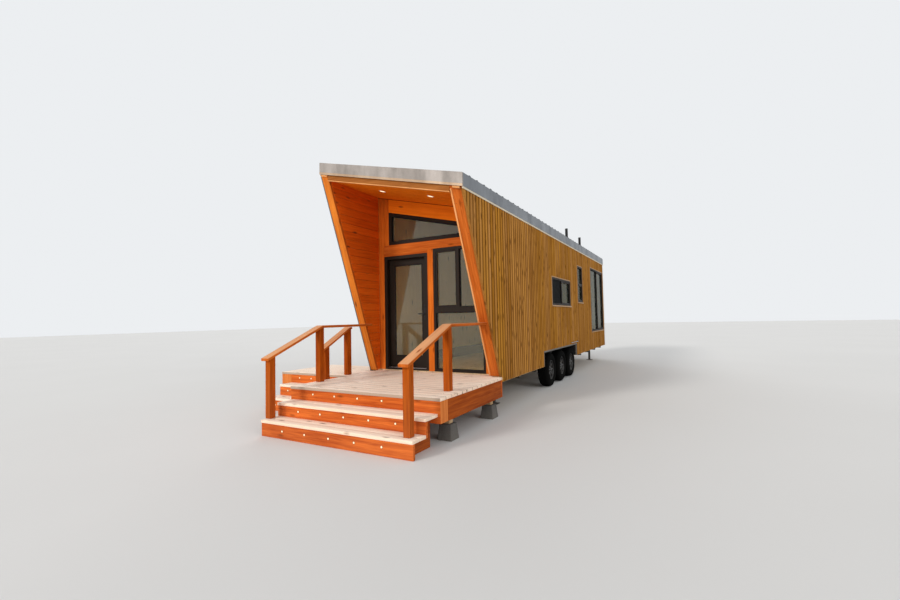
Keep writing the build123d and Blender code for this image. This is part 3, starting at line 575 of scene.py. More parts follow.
def spun(name: str, section: Section, steps: int, axis: str = "X") -> Object:
    """Spin a closed section of (distance along the axis, radius) points.

    Args:
        name: The object's name.
        section: The closed section's points.
        steps: How many steps the spin has.
        axis: The axis of the spin, X or Z.

    Returns:
        The spun ring, centred on the origin.
    """
    clear_selection()
    bpy.ops.mesh.primitive_circle_add(vertices=len(section), radius=1.0)
    obj = named(name)
    for vertex, (along, radius) in zip(obj.data.vertices, section):
        vertex.co = (along, 0.0, radius) if axis == "X" else (radius, 0.0, along)
    edit_all(obj)
    about = (1, 0, 0) if axis == "X" else (0, 0, 1)
    bpy.ops.mesh.spin(steps=steps, angle=math.tau, center=(0, 0, 0), axis=about)
    bpy.ops.mesh.select_all(action="SELECT")
    bpy.ops.mesh.remove_doubles(threshold=1e-5)
    bpy.ops.mesh.normals_make_consistent(inside=False)
    leave_edit()
    return obj


def ring(name: str, corners: Sequence[Triple], bar: float, depth: float, edge: float = 0.002) -> Object:
    """Model a window bar that runs round an opening, from a plane, an inset and a thickness.

    Args:
        name: The object's name.
        corners: The outer corners of the bar's outer face, counter-clockwise from outside.
        bar: The bar's width.
        depth: How far it goes in.
        edge: The rounding of its edges.

    Returns:
        The bar.
    """
    clear_selection()
    bpy.ops.mesh.primitive_plane_add(size=1.0)
    obj = named(name)
    for place, corner in zip(AROUND_PLANE, corners):
        obj.data.vertices[place].co = corner
    edit_all(obj)
    bpy.ops.mesh.inset(thickness=bar, use_even_offset=True)
    bpy.ops.mesh.delete(type="FACE")
    leave_edit()
    apply_modifier(obj, "SOLIDIFY", thickness=depth, offset=-1.0, use_even_offset=True)
    apply_modifier(obj, "BEVEL", width=edge, segments=1, limit_method="ANGLE", angle_limit=SHARP)
    return obj


def rectangle_xz(x: Span, z: Span, y: float) -> list[Triple]:
    """Return a rectangle's corners on a plane of constant y, as seen from the front."""
    return [(x[0], y, z[0]), (x[1], y, z[0]), (x[1], y, z[1]), (x[0], y, z[1])]


def rectangle_yz(y: Span, z: Span, x: float, side: Side) -> list[Triple]:
    """Return a rectangle's corners on a plane of constant x, as seen from outside."""
    first, last = y if side is Side.RIGHT else (y[1], y[0])
    return [(x, first, z[0]), (x, last, z[0]), (x, last, z[1]), (x, first, z[1])]


def spread(low: float, high: float, pitch: float, gap: float) -> list[Span]:
    """Divide a span into boards of one pitch, the last one narrower.

    Args:
        low: The span's start.
        high: Its end.
        pitch: From one board's start to the next.
        gap: The gap between boards.

    Returns:
        Each board's span.
    """
    narrowest = 4 * gap
    spans, start = [], low
    while start < high - narrowest:
        spans.append((start, min(start + pitch - gap, high)))
        start += pitch
    return spans


# Node groups and finishes


class Tree:
    """A node tree that is filled node by node."""

    def __init__(self, tree: NodeGroup) -> None:
        """Keep the tree."""
        self.tree = tree

    def feed(self, node: Node, inputs: dict[Any, Any]) -> Node:
        """Link sockets to a node's inputs, or set values on them.

        Args:
            node: The node.
            inputs: The socket or value for each input, by its name or number.

        Returns:
            The node.
        """
        for key, value in inputs.items():
            if isinstance(value, Socket):
                self.tree.links.new(value, node.inputs[key])
            else:
                node.inputs[key].default_value = value
        return node

    def put(self, kind: str, inputs: dict[Any, Any] | None = None, **settings: Any) -> Node:
        """Add a node.

        Args:
            kind: The node's type, without its ShaderNode prefix.
            inputs: The socket or value for each input, by its name or number.
            settings: The node's own settings.

        Returns:
            The node.
        """
        node = self.tree.nodes.new("ShaderNode" + kind)
        for key, value in settings.items():
            setattr(node, key, value)
        return self.feed(node, inputs or {})

    def out(self, kind: str, inputs: dict[Any, Any], **settings: Any) -> Socket:
        """Add a node and return its first output."""
        return self.put(kind, inputs, **settings).outputs[0]

    def math(self, operation: str, first: Any, second: Any = 0.0, clamp: bool = False) -> Socket:
        """Add a Math node and return its output."""
        return self.out("Math", {0: first, 1: second}, operation=operation, use_clamp=clamp)

    def times(self, first: Any, second: Any) -> Socket:
        """Multiply two numbers."""
        return self.math("MULTIPLY", first, second)

    def plus(self, first: Any, second: Any, clamp: bool = False) -> Socket:
        """Add two numbers."""
        return self.math("ADD", first, second, clamp)

    def remap(self, value: Any, low: Any, high: Any, start: float = 0.0, end: float = 1.0) -> Socket:
        """Add a clamped Map Range node and return its output."""
        return self.out("MapRange", {0: value, 1: low, 2: high, 3: start, 4: end})

    def stretch(self, vector: Any, scale: Triple) -> Socket:
        """Scale a pattern's coordinates."""
        return self.out("Mapping", {0: vector, 3: scale})

    def turn(self, vector: Any, angles: Triple) -> Socket:
        """Turn a pattern's coordinates."""
        return self.out("Mapping", {0: vector, 2: angles})

    def noise(self, vector: Any, scale: Any, detail: float = 2.0, rough: float = 0.5) -> Socket:
        """Add a noise texture and return its value."""
        return self.out("TexNoise", {"Vector": vector, "Scale": scale, "Detail": detail, "Roughness": rough})

    def blend(self, share: Any, first: Any, second: Any) -> Socket:
        """Mix two colours, each a socket or a plain colour, and return the result."""
        pair = [end if isinstance(end, Socket) else (*end, 1.0) for end in (first, second)]
        return self.put("Mix", {0: share, 6: pair[0], 7: pair[1]}, data_type="RGBA").outputs[2]

    def bump(self, height: Socket, depth: float) -> Socket:
        """Turn a height, with its depth in metres, into a normal."""
        return self.out("Bump", {"Height": height, "Distance": depth, "Strength": 0.5})


def start_group(
    name: str, inputs: dict[str, float], outputs: Sequence[str]
) -> tuple[Tree, dict[str, Socket], Node]:
    """Start a shader node group with named sockets.

    Args:
        name: The group's name.
        inputs: The default of each float input, after the vector.
        outputs: The float outputs.

    Returns:
        The tree, the sockets that it is given by name, and its output node.
    """
    group = bpy.data.node_groups.new(name, "ShaderNodeTree")
    group.interface.new_socket("Vector", in_out="INPUT", socket_type="NodeSocketVector")
    for key, value in inputs.items():
        group.interface.new_socket(key, in_out="INPUT", socket_type="NodeSocketFloat").default_value = value
    for key in outputs:
        group.interface.new_socket(key, in_out="OUTPUT", socket_type="NodeSocketFloat")
    given = {socket.name: socket for socket in group.nodes.new("NodeGroupInput").outputs}
    return Tree(group), given, group.nodes.new("NodeGroupOutput")


class Effects:
    """The shared effects, each built once as a node group.

    The scales along and across the grain stretch a pattern, and each share says how much of it shows.
    """

    BOARD_SHIFT = 41.0
    FIGURE_SCALE: Triple = (0.55, 9.0, 9.0)
    FIGURE_LINES = 9.0
    LINES_SHARE = 0.35
    FINE_SCALE: Triple = (2.2, 150.0, 150.0)
    FINE_SHARE = 0.2
    STREAK_SCALE: Triple = (0.9, 24.0, 24.0)
    STREAK_RANGE: Span = (0.36, 0.64)
    KNOT_SCALE: Triple = (3.4, 11.0, 11.0)
    KNOT_SCATTER = 0.9
    KNOT_RADII: Span = (0.06, 0.26)
    SEAM_RANGE: Span = (0.15, 1.0)
    DUST_WAVES = 0.12
    UPWARD_RANGE: Span = (0.55, 0.85)
    PATCH_RANGE: Span = (0.35, 0.65)
    SHEET_SCALE: Triple = (2.0, 2.0, 0.7)
    SHEET_MARKS = 1.6
    SHEET_RANGE: Span = (0.3, 0.7)

    def __init__(self) -> None:
        """Build the groups."""
        self.timber = self.make_timber()
        self.weather = self.make_weather()
        self.sheet = self.make_sheet()

    def make_timber(self) -> NodeGroup:
        """Build sawn timber: each board's tone, its grain, its knots, painted shade along its seams, and its
        height.

        Returns:
            The group.
        """
        defaults = {"Pitch": 0.14, "Start": 0.0, "Knots": 0.5, "Seam Width": 0.006, "Streaks": 0.45}
        tree, given, result = start_group(
            "timber_grain", defaults, ("Tone", "Tint", "Grain", "Knot", "Seam", "Height")
        )
        along, across, deep = tree.put("SeparateXYZ", {0: given["Vector"]}).outputs
        place = tree.math("DIVIDE", tree.math("SUBTRACT", across, given["Start"]), given["Pitch"])
        from_seam = tree.times(tree.math("PINGPONG", place, 0.5), given["Pitch"])
        random = tree.put("TexWhiteNoise", {"W": tree.math("FLOOR", place)}, noise_dimensions="1D")
        shift, tone, tint = tree.put("SeparateColor", {0: random.outputs["Color"]}).outputs
        along = tree.plus(along, tree.times(shift, self.BOARD_SHIFT))
        shifted = tree.out("CombineXYZ", {0: along, 1: across, 2: deep})
        figure = tree.noise(tree.stretch(shifted, self.FIGURE_SCALE), 1.0, 3.0, 0.55)
        rings = tree.math("PINGPONG", tree.times(figure, self.FIGURE_LINES), 0.5)
        lines = tree.remap(rings, 0.0, 0.5, 1.0, 0.0)
        fine = tree.noise(tree.stretch(shifted, self.FINE_SCALE), 1.0)
        broad = tree.noise(tree.stretch(shifted, self.STREAK_SCALE), 1.0, 3.0, 0.6)
        streaks = tree.times(tree.remap(broad, *self.STREAK_RANGE), given["Streaks"])
        grain = tree.plus(tree.times(lines, self.LINES_SHARE), tree.times(fine, self.FINE_SHARE))
        grain = tree.plus(grain, streaks)
        spots = tree.stretch(shifted, self.KNOT_SCALE)
        cells = tree.put("TexVoronoi", {"Vector": spots, "Scale": 1.0, "Randomness": self.KNOT_SCATTER})
        chance = tree.out("SeparateColor", {0: cells.outputs["Color"]})
        round_spot = tree.remap(cells.outputs["Distance"], *self.KNOT_RADII, 1.0, 0.0)
        knot = tree.times(round_spot, tree.math("LESS_THAN", chance, given["Knots"]))
        # Painted shade in the joints between boards: darkest at each board's edge, fading over the seam
        # width.
        seam = tree.remap(tree.math("DIVIDE", from_seam, given["Seam Width"]), *self.SEAM_RANGE, 1.0, 0.0)
        height = tree.math("SUBTRACT", grain, knot)
        tree.feed(result, {"Tone": tone, "Tint": tint, "Grain": grain, "Knot": knot, "Seam": seam})
        tree.feed(result, {"Height": height})
        return tree.tree

    def make_weather(self) -> NodeGroup:
        """Build weather: patches, dust near the ground, and how far a face looks up.

        Returns:
            The group.
        """
        defaults = {"Scale": 1.3, "Low": 0.0, "High": 0.9}
        tree, given, result = start_group("weather_marks", defaults, ("Patches", "Dust", "Upward"))
        patches = tree.noise(given["Vector"], given["Scale"], 5.0)
        height = tree.put("SeparateXYZ", {0: given["Vector"]}).outputs[2]
        wavy = tree.plus(height, tree.remap(patches, 0.3, 0.7, -self.DUST_WAVES, self.DUST_WAVES))
        normal = tree.put("NewGeometry").outputs["Normal"]
        upward = tree.put("SeparateXYZ", {0: normal}).outputs[2]
        tree.feed(result, {
            "Patches": tree.remap(patches, *self.PATCH_RANGE),
            "Dust": tree.remap(wavy, given["Low"], given["High"], 1.0, 0.0),
            "Upward": tree.remap(upward, *self.UPWARD_RANGE),
        })
        return tree.tree

    def make_sheet(self) -> NodeGroup:
        """Build the surface of sheet, rubber or cast pieces: broad marks and fine speckle.

        Returns:
            The group.
        """
        tree, given, result = start_group("sheet_marks", {"Fine": 180.0}, ("Broad", "Speckle"))
        broad = tree.noise(tree.stretch(given["Vector"], self.SHEET_SCALE), self.SHEET_MARKS, 6.0, 0.6)
        speckle = tree.noise(given["Vector"], given["Fine"], 3.0)
        marks = {"Broad": broad, "Speckle": speckle}
        tree.feed(result, {name: tree.remap(mark, *self.SHEET_RANGE) for name, mark in marks.items()})
        return tree.tree


def house_shift() -> Vector:
    """Return where the house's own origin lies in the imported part's frame."""
    low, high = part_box("rear_wall")
    return Vector(((low.x + high.x) / 2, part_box("front_wall_left")[0].y, 0.0))


def start_material(name: str) -> tuple[Tree, Material, Node, Socket]:
    """Start a material.

    Args:
        name: The material's name.

    Returns:
        Its tree, the material, its Principled BSDF and the Object coordinates in the house's frame.
    """
    material = bpy.data.materials.new(name)
    material.use_nodes = True
    tree = Tree(material.node_tree)
    shader = material.node_tree.nodes["Principled BSDF"]
    where = tree.out("Mapping", {0: tree.put("TexCoord").outputs["Object"], 1: -house_shift()})
    return tree, material, shader, where


def shaded(colour: Colour, share: float) -> Colour:
    """Return a darker shade of a colour."""
    return tuple(part * share for part in colour)


@dataclass(frozen=True)
class TimberFinish:
    """Stained or oiled boards, whose upward faces turn paler: partly real bleaching by the sun, partly
    painted sunlight.
    """

    name: str
    light: Colour
    dark: Colour
    along: Along
    pitch: float = 4.0
    start: float = -30.0
    knots: float = 0.35
    tone: float = 0.0
    # Painted shade along the joints between boards: its strength, the band's width and how dark it gets.
    seam: float = 0.0
    seam_width: float = 0.007
    groove: float = 0.16
    # How much paler the upward faces turn, and towards what colour: partly real bleaching, partly painted
    # sunlight.
    bleach: Colour = (0.88, 0.68, 0.50)
    bleached: float = 0.0
    dust: float = 0.05
    dust_colour: Colour = (0.42, 0.34, 0.26)
    roughness: float = 0.65
    specular: float = 0.1
    lean: float = 0.0
    slope: float = 0.0
    grain: float = 0.75
    patches: float = 0.22
    streaks: float = 0.45
    knot_colour: Colour = (0.09, 0.03, 0.01)
    knot_share: float = 0.95
    tint: Colour = (0.5, 0.3, 0.15)
    tinted: float = 0.0
    depth: float = 0.0012
    bleach_ends: Span = (1.0, 0.55)
    roughness_ends: Span = (-0.08, 0.12)

    def make(self, effects: Effects) -> Material:
        """Build the material.

        Args:
            effects: The shared effects.

        Returns:
            The material.
        """
        tree, material, shader, where = start_material(self.name)
        about_x, about_y, about_z = self.along.value
        level = tree.turn(where, (0.0, self.slope, 0.0))
        board = {
            "Vector": tree.turn(level, (about_x - self.lean, about_y, about_z)), "Pitch": self.pitch,
            "Start": self.start, "Knots": self.knots, "Seam Width": self.seam_width, "Streaks": self.streaks,
        }
        timber = tree.put("Group", board, node_tree=effects.timber).outputs
        weather = tree.put("Group", {"Vector": where}, node_tree=effects.weather).outputs
        tone = tree.times(tree.math("SUBTRACT", timber["Tone"], 0.5), self.tone)
        share = tree.plus(tree.times(timber["Grain"], self.grain), tone)
        share = tree.plus(share, tree.times(weather["Patches"], self.patches), clamp=True)
        light = tree.blend(tree.times(timber["Tint"], self.tinted), self.light, self.tint)
        colour = tree.blend(share, light, self.dark)
        # Upward faces turn paler: partly real bleaching and wear, partly painted sunlight on the tops.
        up = tree.times(weather["Upward"], self.bleached)
        up = tree.times(up, tree.remap(share, 0.1, 1.0, *self.bleach_ends))
        colour = tree.blend(up, colour, self.bleach)
        # Knots and dust are the boards' own marks; the seam mark is painted shade in the joints between
        # boards.
        for mask, strength, over in (
            (timber["Knot"], self.knot_share, self.knot_colour),
            (weather["Dust"], self.dust, self.dust_colour),
            (timber["Seam"], self.seam, shaded(self.dark, self.groove)),
        ):
            colour = tree.blend(tree.times(mask, strength), colour, over)
        tree.feed(shader, {
            "Base Color": colour,
            "Roughness": tree.remap(share, 0.0, 1.0, *(self.roughness + off for off in self.roughness_ends)),
            "Specular IOR Level": self.specular,
            "Normal": tree.bump(timber["Height"], self.depth),
        })
        return material


@dataclass(frozen=True)
class SheetFinish:
    """Painted or bare sheet, rubber, plastic or concrete."""

    name: str
    colour: Colour
    mark: Colour
    roughness: float = 0.4
    metallic: float = 0.0
    marks: float = 0.35
    dust: float = 0.15
    grit: float = 0.0003
    fine: float = 180.0
    dust_top: float = 0.9
    dust_colour: Colour = (0.42, 0.36, 0.29)
    specular: float = 0.5
    speckle: float = 0.4

    def make(self, effects: Effects) -> Material:
        """Build the material.

        Args:
            effects: The shared effects.

        Returns:
            The material.
        """
        tree, material, shader, where = start_material(self.name)
        sheet = tree.put("Group", {"Vector": where, "Fine": self.fine}, node_tree=effects.sheet).outputs
        dusty = tree.put("Group", {"Vector": where, "High": self.dust_top}, node_tree=effects.weather)
        share = tree.times(sheet["Broad"], self.marks)
        share = tree.plus(share, tree.times(sheet["Speckle"], self.marks * self.speckle), clamp=True)
        colour = tree.blend(share, self.colour, self.mark)
        dust = tree.times(dusty.outputs["Dust"], self.dust)
        tree.feed(shader, {
            "Base Color": tree.blend(dust, colour, self.dust_colour),
            "Roughness": tree.remap(share, 0.0, 1.0, self.roughness, min(1.0, self.roughness + 0.25)),
            "Metallic": self.metallic,
            "Specular IOR Level": self.specular,
            "Normal": tree.bump(sheet["Speckle"], self.grit),
        })
        return material


@dataclass(frozen=True)
class GlassFinish:
    """Window glass, with its faint smears and how far it bends light."""

    name: str
    colour: Colour
    roughness: float = 0.02
    specular: float = 0.8
    bend: float = 1.5
    clearness: float = 0.96

    def make(self, effects: Effects) -> Material:
        """Build the material.

        Args:
            effects: The shared effects.

        Returns:
            The material.
        """
        tree, material, shader, where = start_material(self.name)
        broad = tree.out("Group", {"Vector": where, "Fine": 3.0}, node_tree=effects.sheet)
        tree.feed(shader, {
            "Base Color": tree.blend(broad, self.colour, shaded(self.colour, 0.93)),
            "Roughness": tree.remap(broad, 0.2, 1.0, self.roughness, self.roughness + 0.03),
            "Transmission Weight": self.clearness,
            "IOR": self.bend,
            "Specular IOR Level": self.specular,
        })
        return material


@dataclass(frozen=True)
class LampFinish:
    """The lit lens of a small lamp."""

    name: str
    colour: Colour
    strength: float

    def make(self, effects: Effects) -> Material:
        """Build the material.

        Args:
            effects: The shared effects.

        Returns:
            The material.
        """
        tree, material, shader, where = start_material(self.name)
        broad = tree.out("Group", {"Vector": where, "Fine": 60.0}, node_tree=effects.sheet)
        colour = tree.blend(broad, self.colour, shaded(self.colour, 0.9))
        tree.feed(shader, {"Base Color": colour, "Emission Color": colour})
        tree.feed(shader, {"Emission Strength": self.strength, "Roughness": 0.25})
        return material


class Palette:
    """Every finish of the house, built when it is first asked for."""

    SOFT_KNOTS = {"knots": 0.15, "knot_colour": (0.24, 0.045, 0.004), "specular": 0.04}
    ORANGE = {"light": (0.66, 0.165, 0.024), "dark": (0.27, 0.038, 0.002), **SOFT_KNOTS}
    # A darker copy of the stain: painted shade on the side-facing rims, the stringers and the posts.
    POST = {"light": (0.50, 0.102, 0.006), "dark": (0.18, 0.022, 0.001), **SOFT_KNOTS}
    # A lighter copy of the stain: painted sunlight on the front-facing rims and the risers.
    RIM = SOFT_KNOTS | {
        "light": (0.80, 0.185, 0.026), "dark": (0.33, 0.041, 0.003), "streaks": 0.6, "knots": 0.35,
    }
    # Rails: their tops turn paler through the same mask as the deck's: worn stain, and painted sunlight.
    RAIL = {"bleached": 0.75, "bleach": (0.72, 0.42, 0.22), **ORANGE}
    # Wall boards: their seam values paint shade in the joints between them.
    WALL = {
        "light": (0.57, 0.252, 0.032), "dark": (0.21, 0.074, 0.006), "pitch": 0.1, "knots": 0.95, "tone": 0.5,
        "seam": 0.85, "seam_width": 0.032, "groove": 0.5, "roughness": 0.85, "specular": 0.02, "dust": 0.02,
        "streaks": 0.22, "tint": (0.58, 0.28, 0.085), "tinted": 0.9, "knot_colour": (0.06, 0.018, 0.003),
    }
    # A darker copy of the wall boards: painted shade on the siding's front edge beside the porch trim.
    EDGE = WALL | {"light": (0.28, 0.105, 0.014), "dark": (0.12, 0.040, 0.004), "pitch": 4.0, "seam": 0.0}
    # Porch boards are brighter than their stain: painted light for the bright shade inside the porch, redder
    # on the sides than overhead; their seam values paint shade in the joints.
    PORCH = {
        "light": (0.85, 0.15, 0.008), "dark": (0.50, 0.07, 0.002), "tone": 0.35, "seam": 0.3, "dust": 0.0,
    }
    # GLOW: the porch ceiling and the sloping board over the transom, brightened the most as painted light
    # under the porch roof.
    GLOW = {"light": (1.0, 0.26, 0.008), "dark": (0.72, 0.14, 0.003), "dust": 0.0, "knots": 0.1}
    # Deck and tread boards: pale partly from real bleaching, partly as painted sunlight on their tops; their
    # seam values paint shade in the gaps.
    DECK = {
        "light": (0.97, 0.81, 0.65), "dark": (0.87, 0.59, 0.42), "pitch": 0.145, "tone": 0.3, "bleached": 0.6,
        "seam": 0.6, "bleach": (0.97, 0.85, 0.72),
    }
    TREAD = DECK | {"pitch": 4.0, "start": -30.0, "seam": 0.0}
    TRIM_LEAN = 0.385
    CEILING_SLOPE = -0.235
    RAIL_LEAN_FRONT = 0.398
    RAIL_LEAN_SIDE = 0.497
    FINISHES = (
        TimberFinish("wall_side", along=Along.Z_BY_Y, start=-1.30, **WALL),
        TimberFinish("wall_rear", along=Along.Z_BY_X, start=-1.265, **WALL),
        TimberFinish("wall_edge", along=Along.Z_BY_X, **EDGE),
        TimberFinish("porch_side", along=Along.Y_BY_Z, start=0.60, pitch=0.135, **PORCH),
        TimberFinish("porch_upright", (0.76, 0.19, 0.020), (0.38, 0.062, 0.003), Along.Z_BY_X, **SOFT_KNOTS),
        TimberFinish("porch_slope", along=Along.X_BY_Z, slope=CEILING_SLOPE, **GLOW),
        TimberFinish("porch_over", along=Along.X_BY_Y, start=-1.275, pitch=0.135, tone=0.3, seam=0.4, **GLOW),
        TimberFinish("orange_x", along=Along.X_BY_Y, **ORANGE),
        TimberFinish("post_y", along=Along.Y_BY_X, **POST),
        TimberFinish("post_z", along=Along.Z_BY_Y, **POST),
        TimberFinish("orange_lean", along=Along.Z_BY_Y, lean=TRIM_LEAN, **ORANGE),
        TimberFinish(
            "sunlit_lean", (0.78, 0.235, 0.026), (0.46, 0.10, 0.007), Along.Z_BY_Y, lean=TRIM_LEAN, knots=0.15
        ),
        TimberFinish("rim_x", along=Along.X_BY_Y, **RIM),
        TimberFinish(
            "tan_lean", (0.85, 0.40, 0.15), (0.55, 0.19, 0.05), Along.Z_BY_Y, lean=TRIM_LEAN, knots=0.1
        ),
        # This finish also paints the glint of sunlight on the blocks at the trims' tops.
        TimberFinish("tan_edge", (0.85, 0.42, 0.16), (0.50, 0.18, 0.05), Along.X_BY_Y, knots=0.1),
        TimberFinish("beam_brown", (0.42, 0.15, 0.030), (0.20, 0.055, 0.008), Along.X_BY_Y, knots=0.3),
        # Near-black brown for the strip of painted shadow under the porch ceiling.
        TimberFinish("seam_brown", (0.09, 0.015, 0.002), (0.05, 0.008, 0.001), Along.X_BY_Y, knots=0.0),
        TimberFinish("rail_level", along=Along.Y_BY_X, **RAIL),
        TimberFinish("rail_front", along=Along.Y_BY_X, lean=RAIL_LEAN_FRONT, **RAIL),
        TimberFinish("rail_side", along=Along.Y_BY_X, lean=RAIL_LEAN_SIDE, **RAIL),
        TimberFinish("deck_boards", along=Along.X_BY_Y, start=-2.09, **DECK),
        TimberFinish("landing_boards", along=Along.X_BY_Y, start=-0.90, **DECK),
        TimberFinish("tread_boards", along=Along.X_BY_Y, **TREAD),
        TimberFinish("light_block", (0.80, 0.25, 0.050), (0.50, 0.11, 0.014), Along.Z_BY_Y, knots=0.2),
        TimberFinish("raw_board", (0.72, 0.52, 0.30), (0.48, 0.30, 0.15), Along.Z_BY_Y, knots=0.15),
        TimberFinish("window_trim", (0.50, 0.33, 0.19), (0.34, 0.20, 0.10), Along.Y_BY_X, knots=0.1),
        # Inner walls are paler than their wood: painted light in the dim rooms seen through the glass.
        TimberFinish(
            "inner_boards", (0.96, 0.71, 0.36), (0.78, 0.52, 0.25), Along.Z_BY_Y, knots=0.2, dust=0.0
        ),
        TimberFinish(
            "floor_wood", (0.74, 0.54, 0.34), (0.52, 0.36, 0.21), Along.Y_BY_X, 0.15, tone=0.4, seam=0.4
        ),
        SheetFinish("roof_sheet", (0.17, 0.185, 0.20), (0.11, 0.12, 0.13), 0.42, 0.35, dust=0.0),
        SheetFinish("edge_sheet", (0.39, 0.345, 0.315), (0.20, 0.175, 0.155), 0.35, 0.25, 0.9, 0.0),
        SheetFinish("edge_lip", (0.46, 0.34, 0.23), (0.32, 0.21, 0.13), 0.32, 0.35, 0.9, 0.0),
        SheetFinish("side_sheet", (0.22, 0.235, 0.255), (0.13, 0.14, 0.155), 0.30, 0.55, 0.7, 0.0),
        SheetFinish("rib_end", (0.03, 0.032, 0.034), (0.05, 0.05, 0.05), 0.6, 0.0, 0.3, 0.0, specular=0.2),
        SheetFinish(
            "well_sheet", (0.17, 0.16, 0.145), (0.10, 0.095, 0.085), 0.5, 0.2, 0.6, 0.1, specular=0.3
        ),
        SheetFinish("cream_trim", (0.68, 0.60, 0.46), (0.52, 0.44, 0.32), 0.5, 0.0, 0.3, 0.0),
        SheetFinish("white_trim", (0.80, 0.78, 0.74), (0.62, 0.58, 0.52), 0.5, 0.0, 0.3, 0.0),
        SheetFinish(
            "bronze", (0.010, 0.005, 0.0025), (0.018, 0.011, 0.006), 0.45, 0.0, 0.6, 0.0, specular=0.15
        ),
        SheetFinish("gasket", (0.006,) * 3, (0.015,) * 3, 0.8, dust=0.05, specular=0.1),
        SheetFinish("black_plastic", (0.008, 0.008, 0.009), (0.02,) * 3, 0.5, dust=0.03, specular=0.2),
        SheetFinish(
            "chassis", (0.010, 0.010, 0.011), (0.03, 0.026, 0.022), 0.5, 0.0, 0.5, 0.10, specular=0.2
        ),
        SheetFinish("zinc", (0.50, 0.51, 0.52), (0.33,) * 3, 0.38, 0.85, 0.5, 0.15),
        SheetFinish(
            "tyre_rubber", (0.003,) * 3, (0.006, 0.006, 0.0055), 0.92, 0.0, 0.6, 0.004, dust_top=0.6,
            specular=0.03,
        ),
        SheetFinish(
            "rim_black", (0.007, 0.007, 0.008), (0.016, 0.016, 0.015), 0.30, 0.0, 0.4, 0.04, specular=0.3
        ),
        SheetFinish("rim_bright", (0.20, 0.20, 0.21), (0.11,) * 3, 0.30, 0.95, 0.4, 0.1),
        SheetFinish("lamp_rim", (0.42, 0.22, 0.10), (0.28, 0.13, 0.05), 0.55, 0.2, 0.4, 0.1),
        SheetFinish(
            "concrete", (0.145, 0.14, 0.13), (0.08, 0.075, 0.07), 0.9, 0.0, 0.8, 0.12, 0.003, 60.0, 0.25,
            specular=0.2,
        ),
        # The glass tints are painted reflection of the trees: yellow-green on the door and the front window,
        # dark green on the side windows.
        GlassFinish("clear_glass", (0.96, 0.92, 0.66)),
        GlassFinish("side_glass", (0.46, 0.50, 0.40), specular=0.5, bend=1.06),
        GlassFinish("insect_screen", (0.02, 0.024, 0.022), 0.6, specular=0.2, bend=1.1),
        LampFinish("lamp_warm", (1.0, 0.80, 0.55), 1.6),
        LampFinish("lamp_riser", (1.0, 0.78, 0.54), 0.62),
    )

    def __init__(self, effects: Effects) -> None:
        """Keep the effects and list the finishes by name.

        Args:
            effects: The shared effects.
        """
        self.effects = effects
        self.finishes = {finish.name: finish for finish in self.FINISHES}
        self.made: dict[str, Material] = {}

    def __getitem__(self, name: str) -> Material:
        """Return a finish's material, made at its first use.

        Args:
            name: The finish's name.

        Returns:
            The material.
        """
        if name not in self.made:
            self.made[name] = self.finishes[name].make(self.effects)
        return self.made[name]


class Workshop:
    """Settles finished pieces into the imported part's frame and reports them."""

    SMOOTH = math.radians(35)
    WELD = 1e-5

    def __init__(self, palette: Palette) -> None:
        """Find where the house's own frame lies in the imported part."""
        self.shift = Matrix.Translation(house_shift())
        self.palette = palette

    def settle(
        self, obj: Object, finish: str, slot: str, body: str = HOUSE, replaces: Sequence[str] = ()
    ) -> None:
        """Move a finished piece into place, dress it and let it ride on its body.

        Args:
            obj: The piece, modelled in the house's frame.
            finish: The name of its finish.
            slot: The record's material slot; it is not used.
            body: The CAD body that it rides on.
            replaces: The CAD nodes that it stands for.
        """
        obj.data.transform(self.shift)
        obj.data.materials.clear()
        obj.data.materials.append(self.palette[finish])
        choose(obj)
        bpy.ops.object.shade_smooth_by_angle(angle=self.SMOOTH)
        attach(obj, body)
        if replaces:
            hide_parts(*replaces)
        LOG.info("%s: %d faces on %s", obj.name, len(obj.data.polygons), body)

    def boards(
        self, name: str, blocks: Iterable[Box], finish: str, slot: str, edge: float, segments: int = 1,
        replaces: Sequence[str] = (),
    ) -> None:
        """Lay rounded boards, with lay's edge and segments, and settle them on the house."""
        self.settle(lay(name, blocks, edge, segments), finish, slot, replaces=replaces)

    def dress(self, nodes: dict[str, Object], finish: str, names: Sequence[str], edge: float = 0.0) -> None:
        """Give CAD nodes a finish, and soften their edges if asked.

        Args:
            nodes: The CAD nodes' objects.
            finish: The name of the finish.
            names: The nodes.
            edge: The rounding of their edges, or 0.
        """
        for name in names:
            obj = nodes[name]
            for slot in obj.material_slots:
                slot.material = self.palette[finish]
            if edge:
                obj.modifiers.new("Weld", "WELD").merge_threshold = self.WELD
                rounding = obj.modifiers.new("Edges", "BEVEL")
                rounding.width = edge
                rounding.segments = 2
                rounding.limit_method = "ANGLE"
                rounding.angle_limit = SHARP
            LOG.info("dressed %s in %s", name, finish)


# The house's own pieces


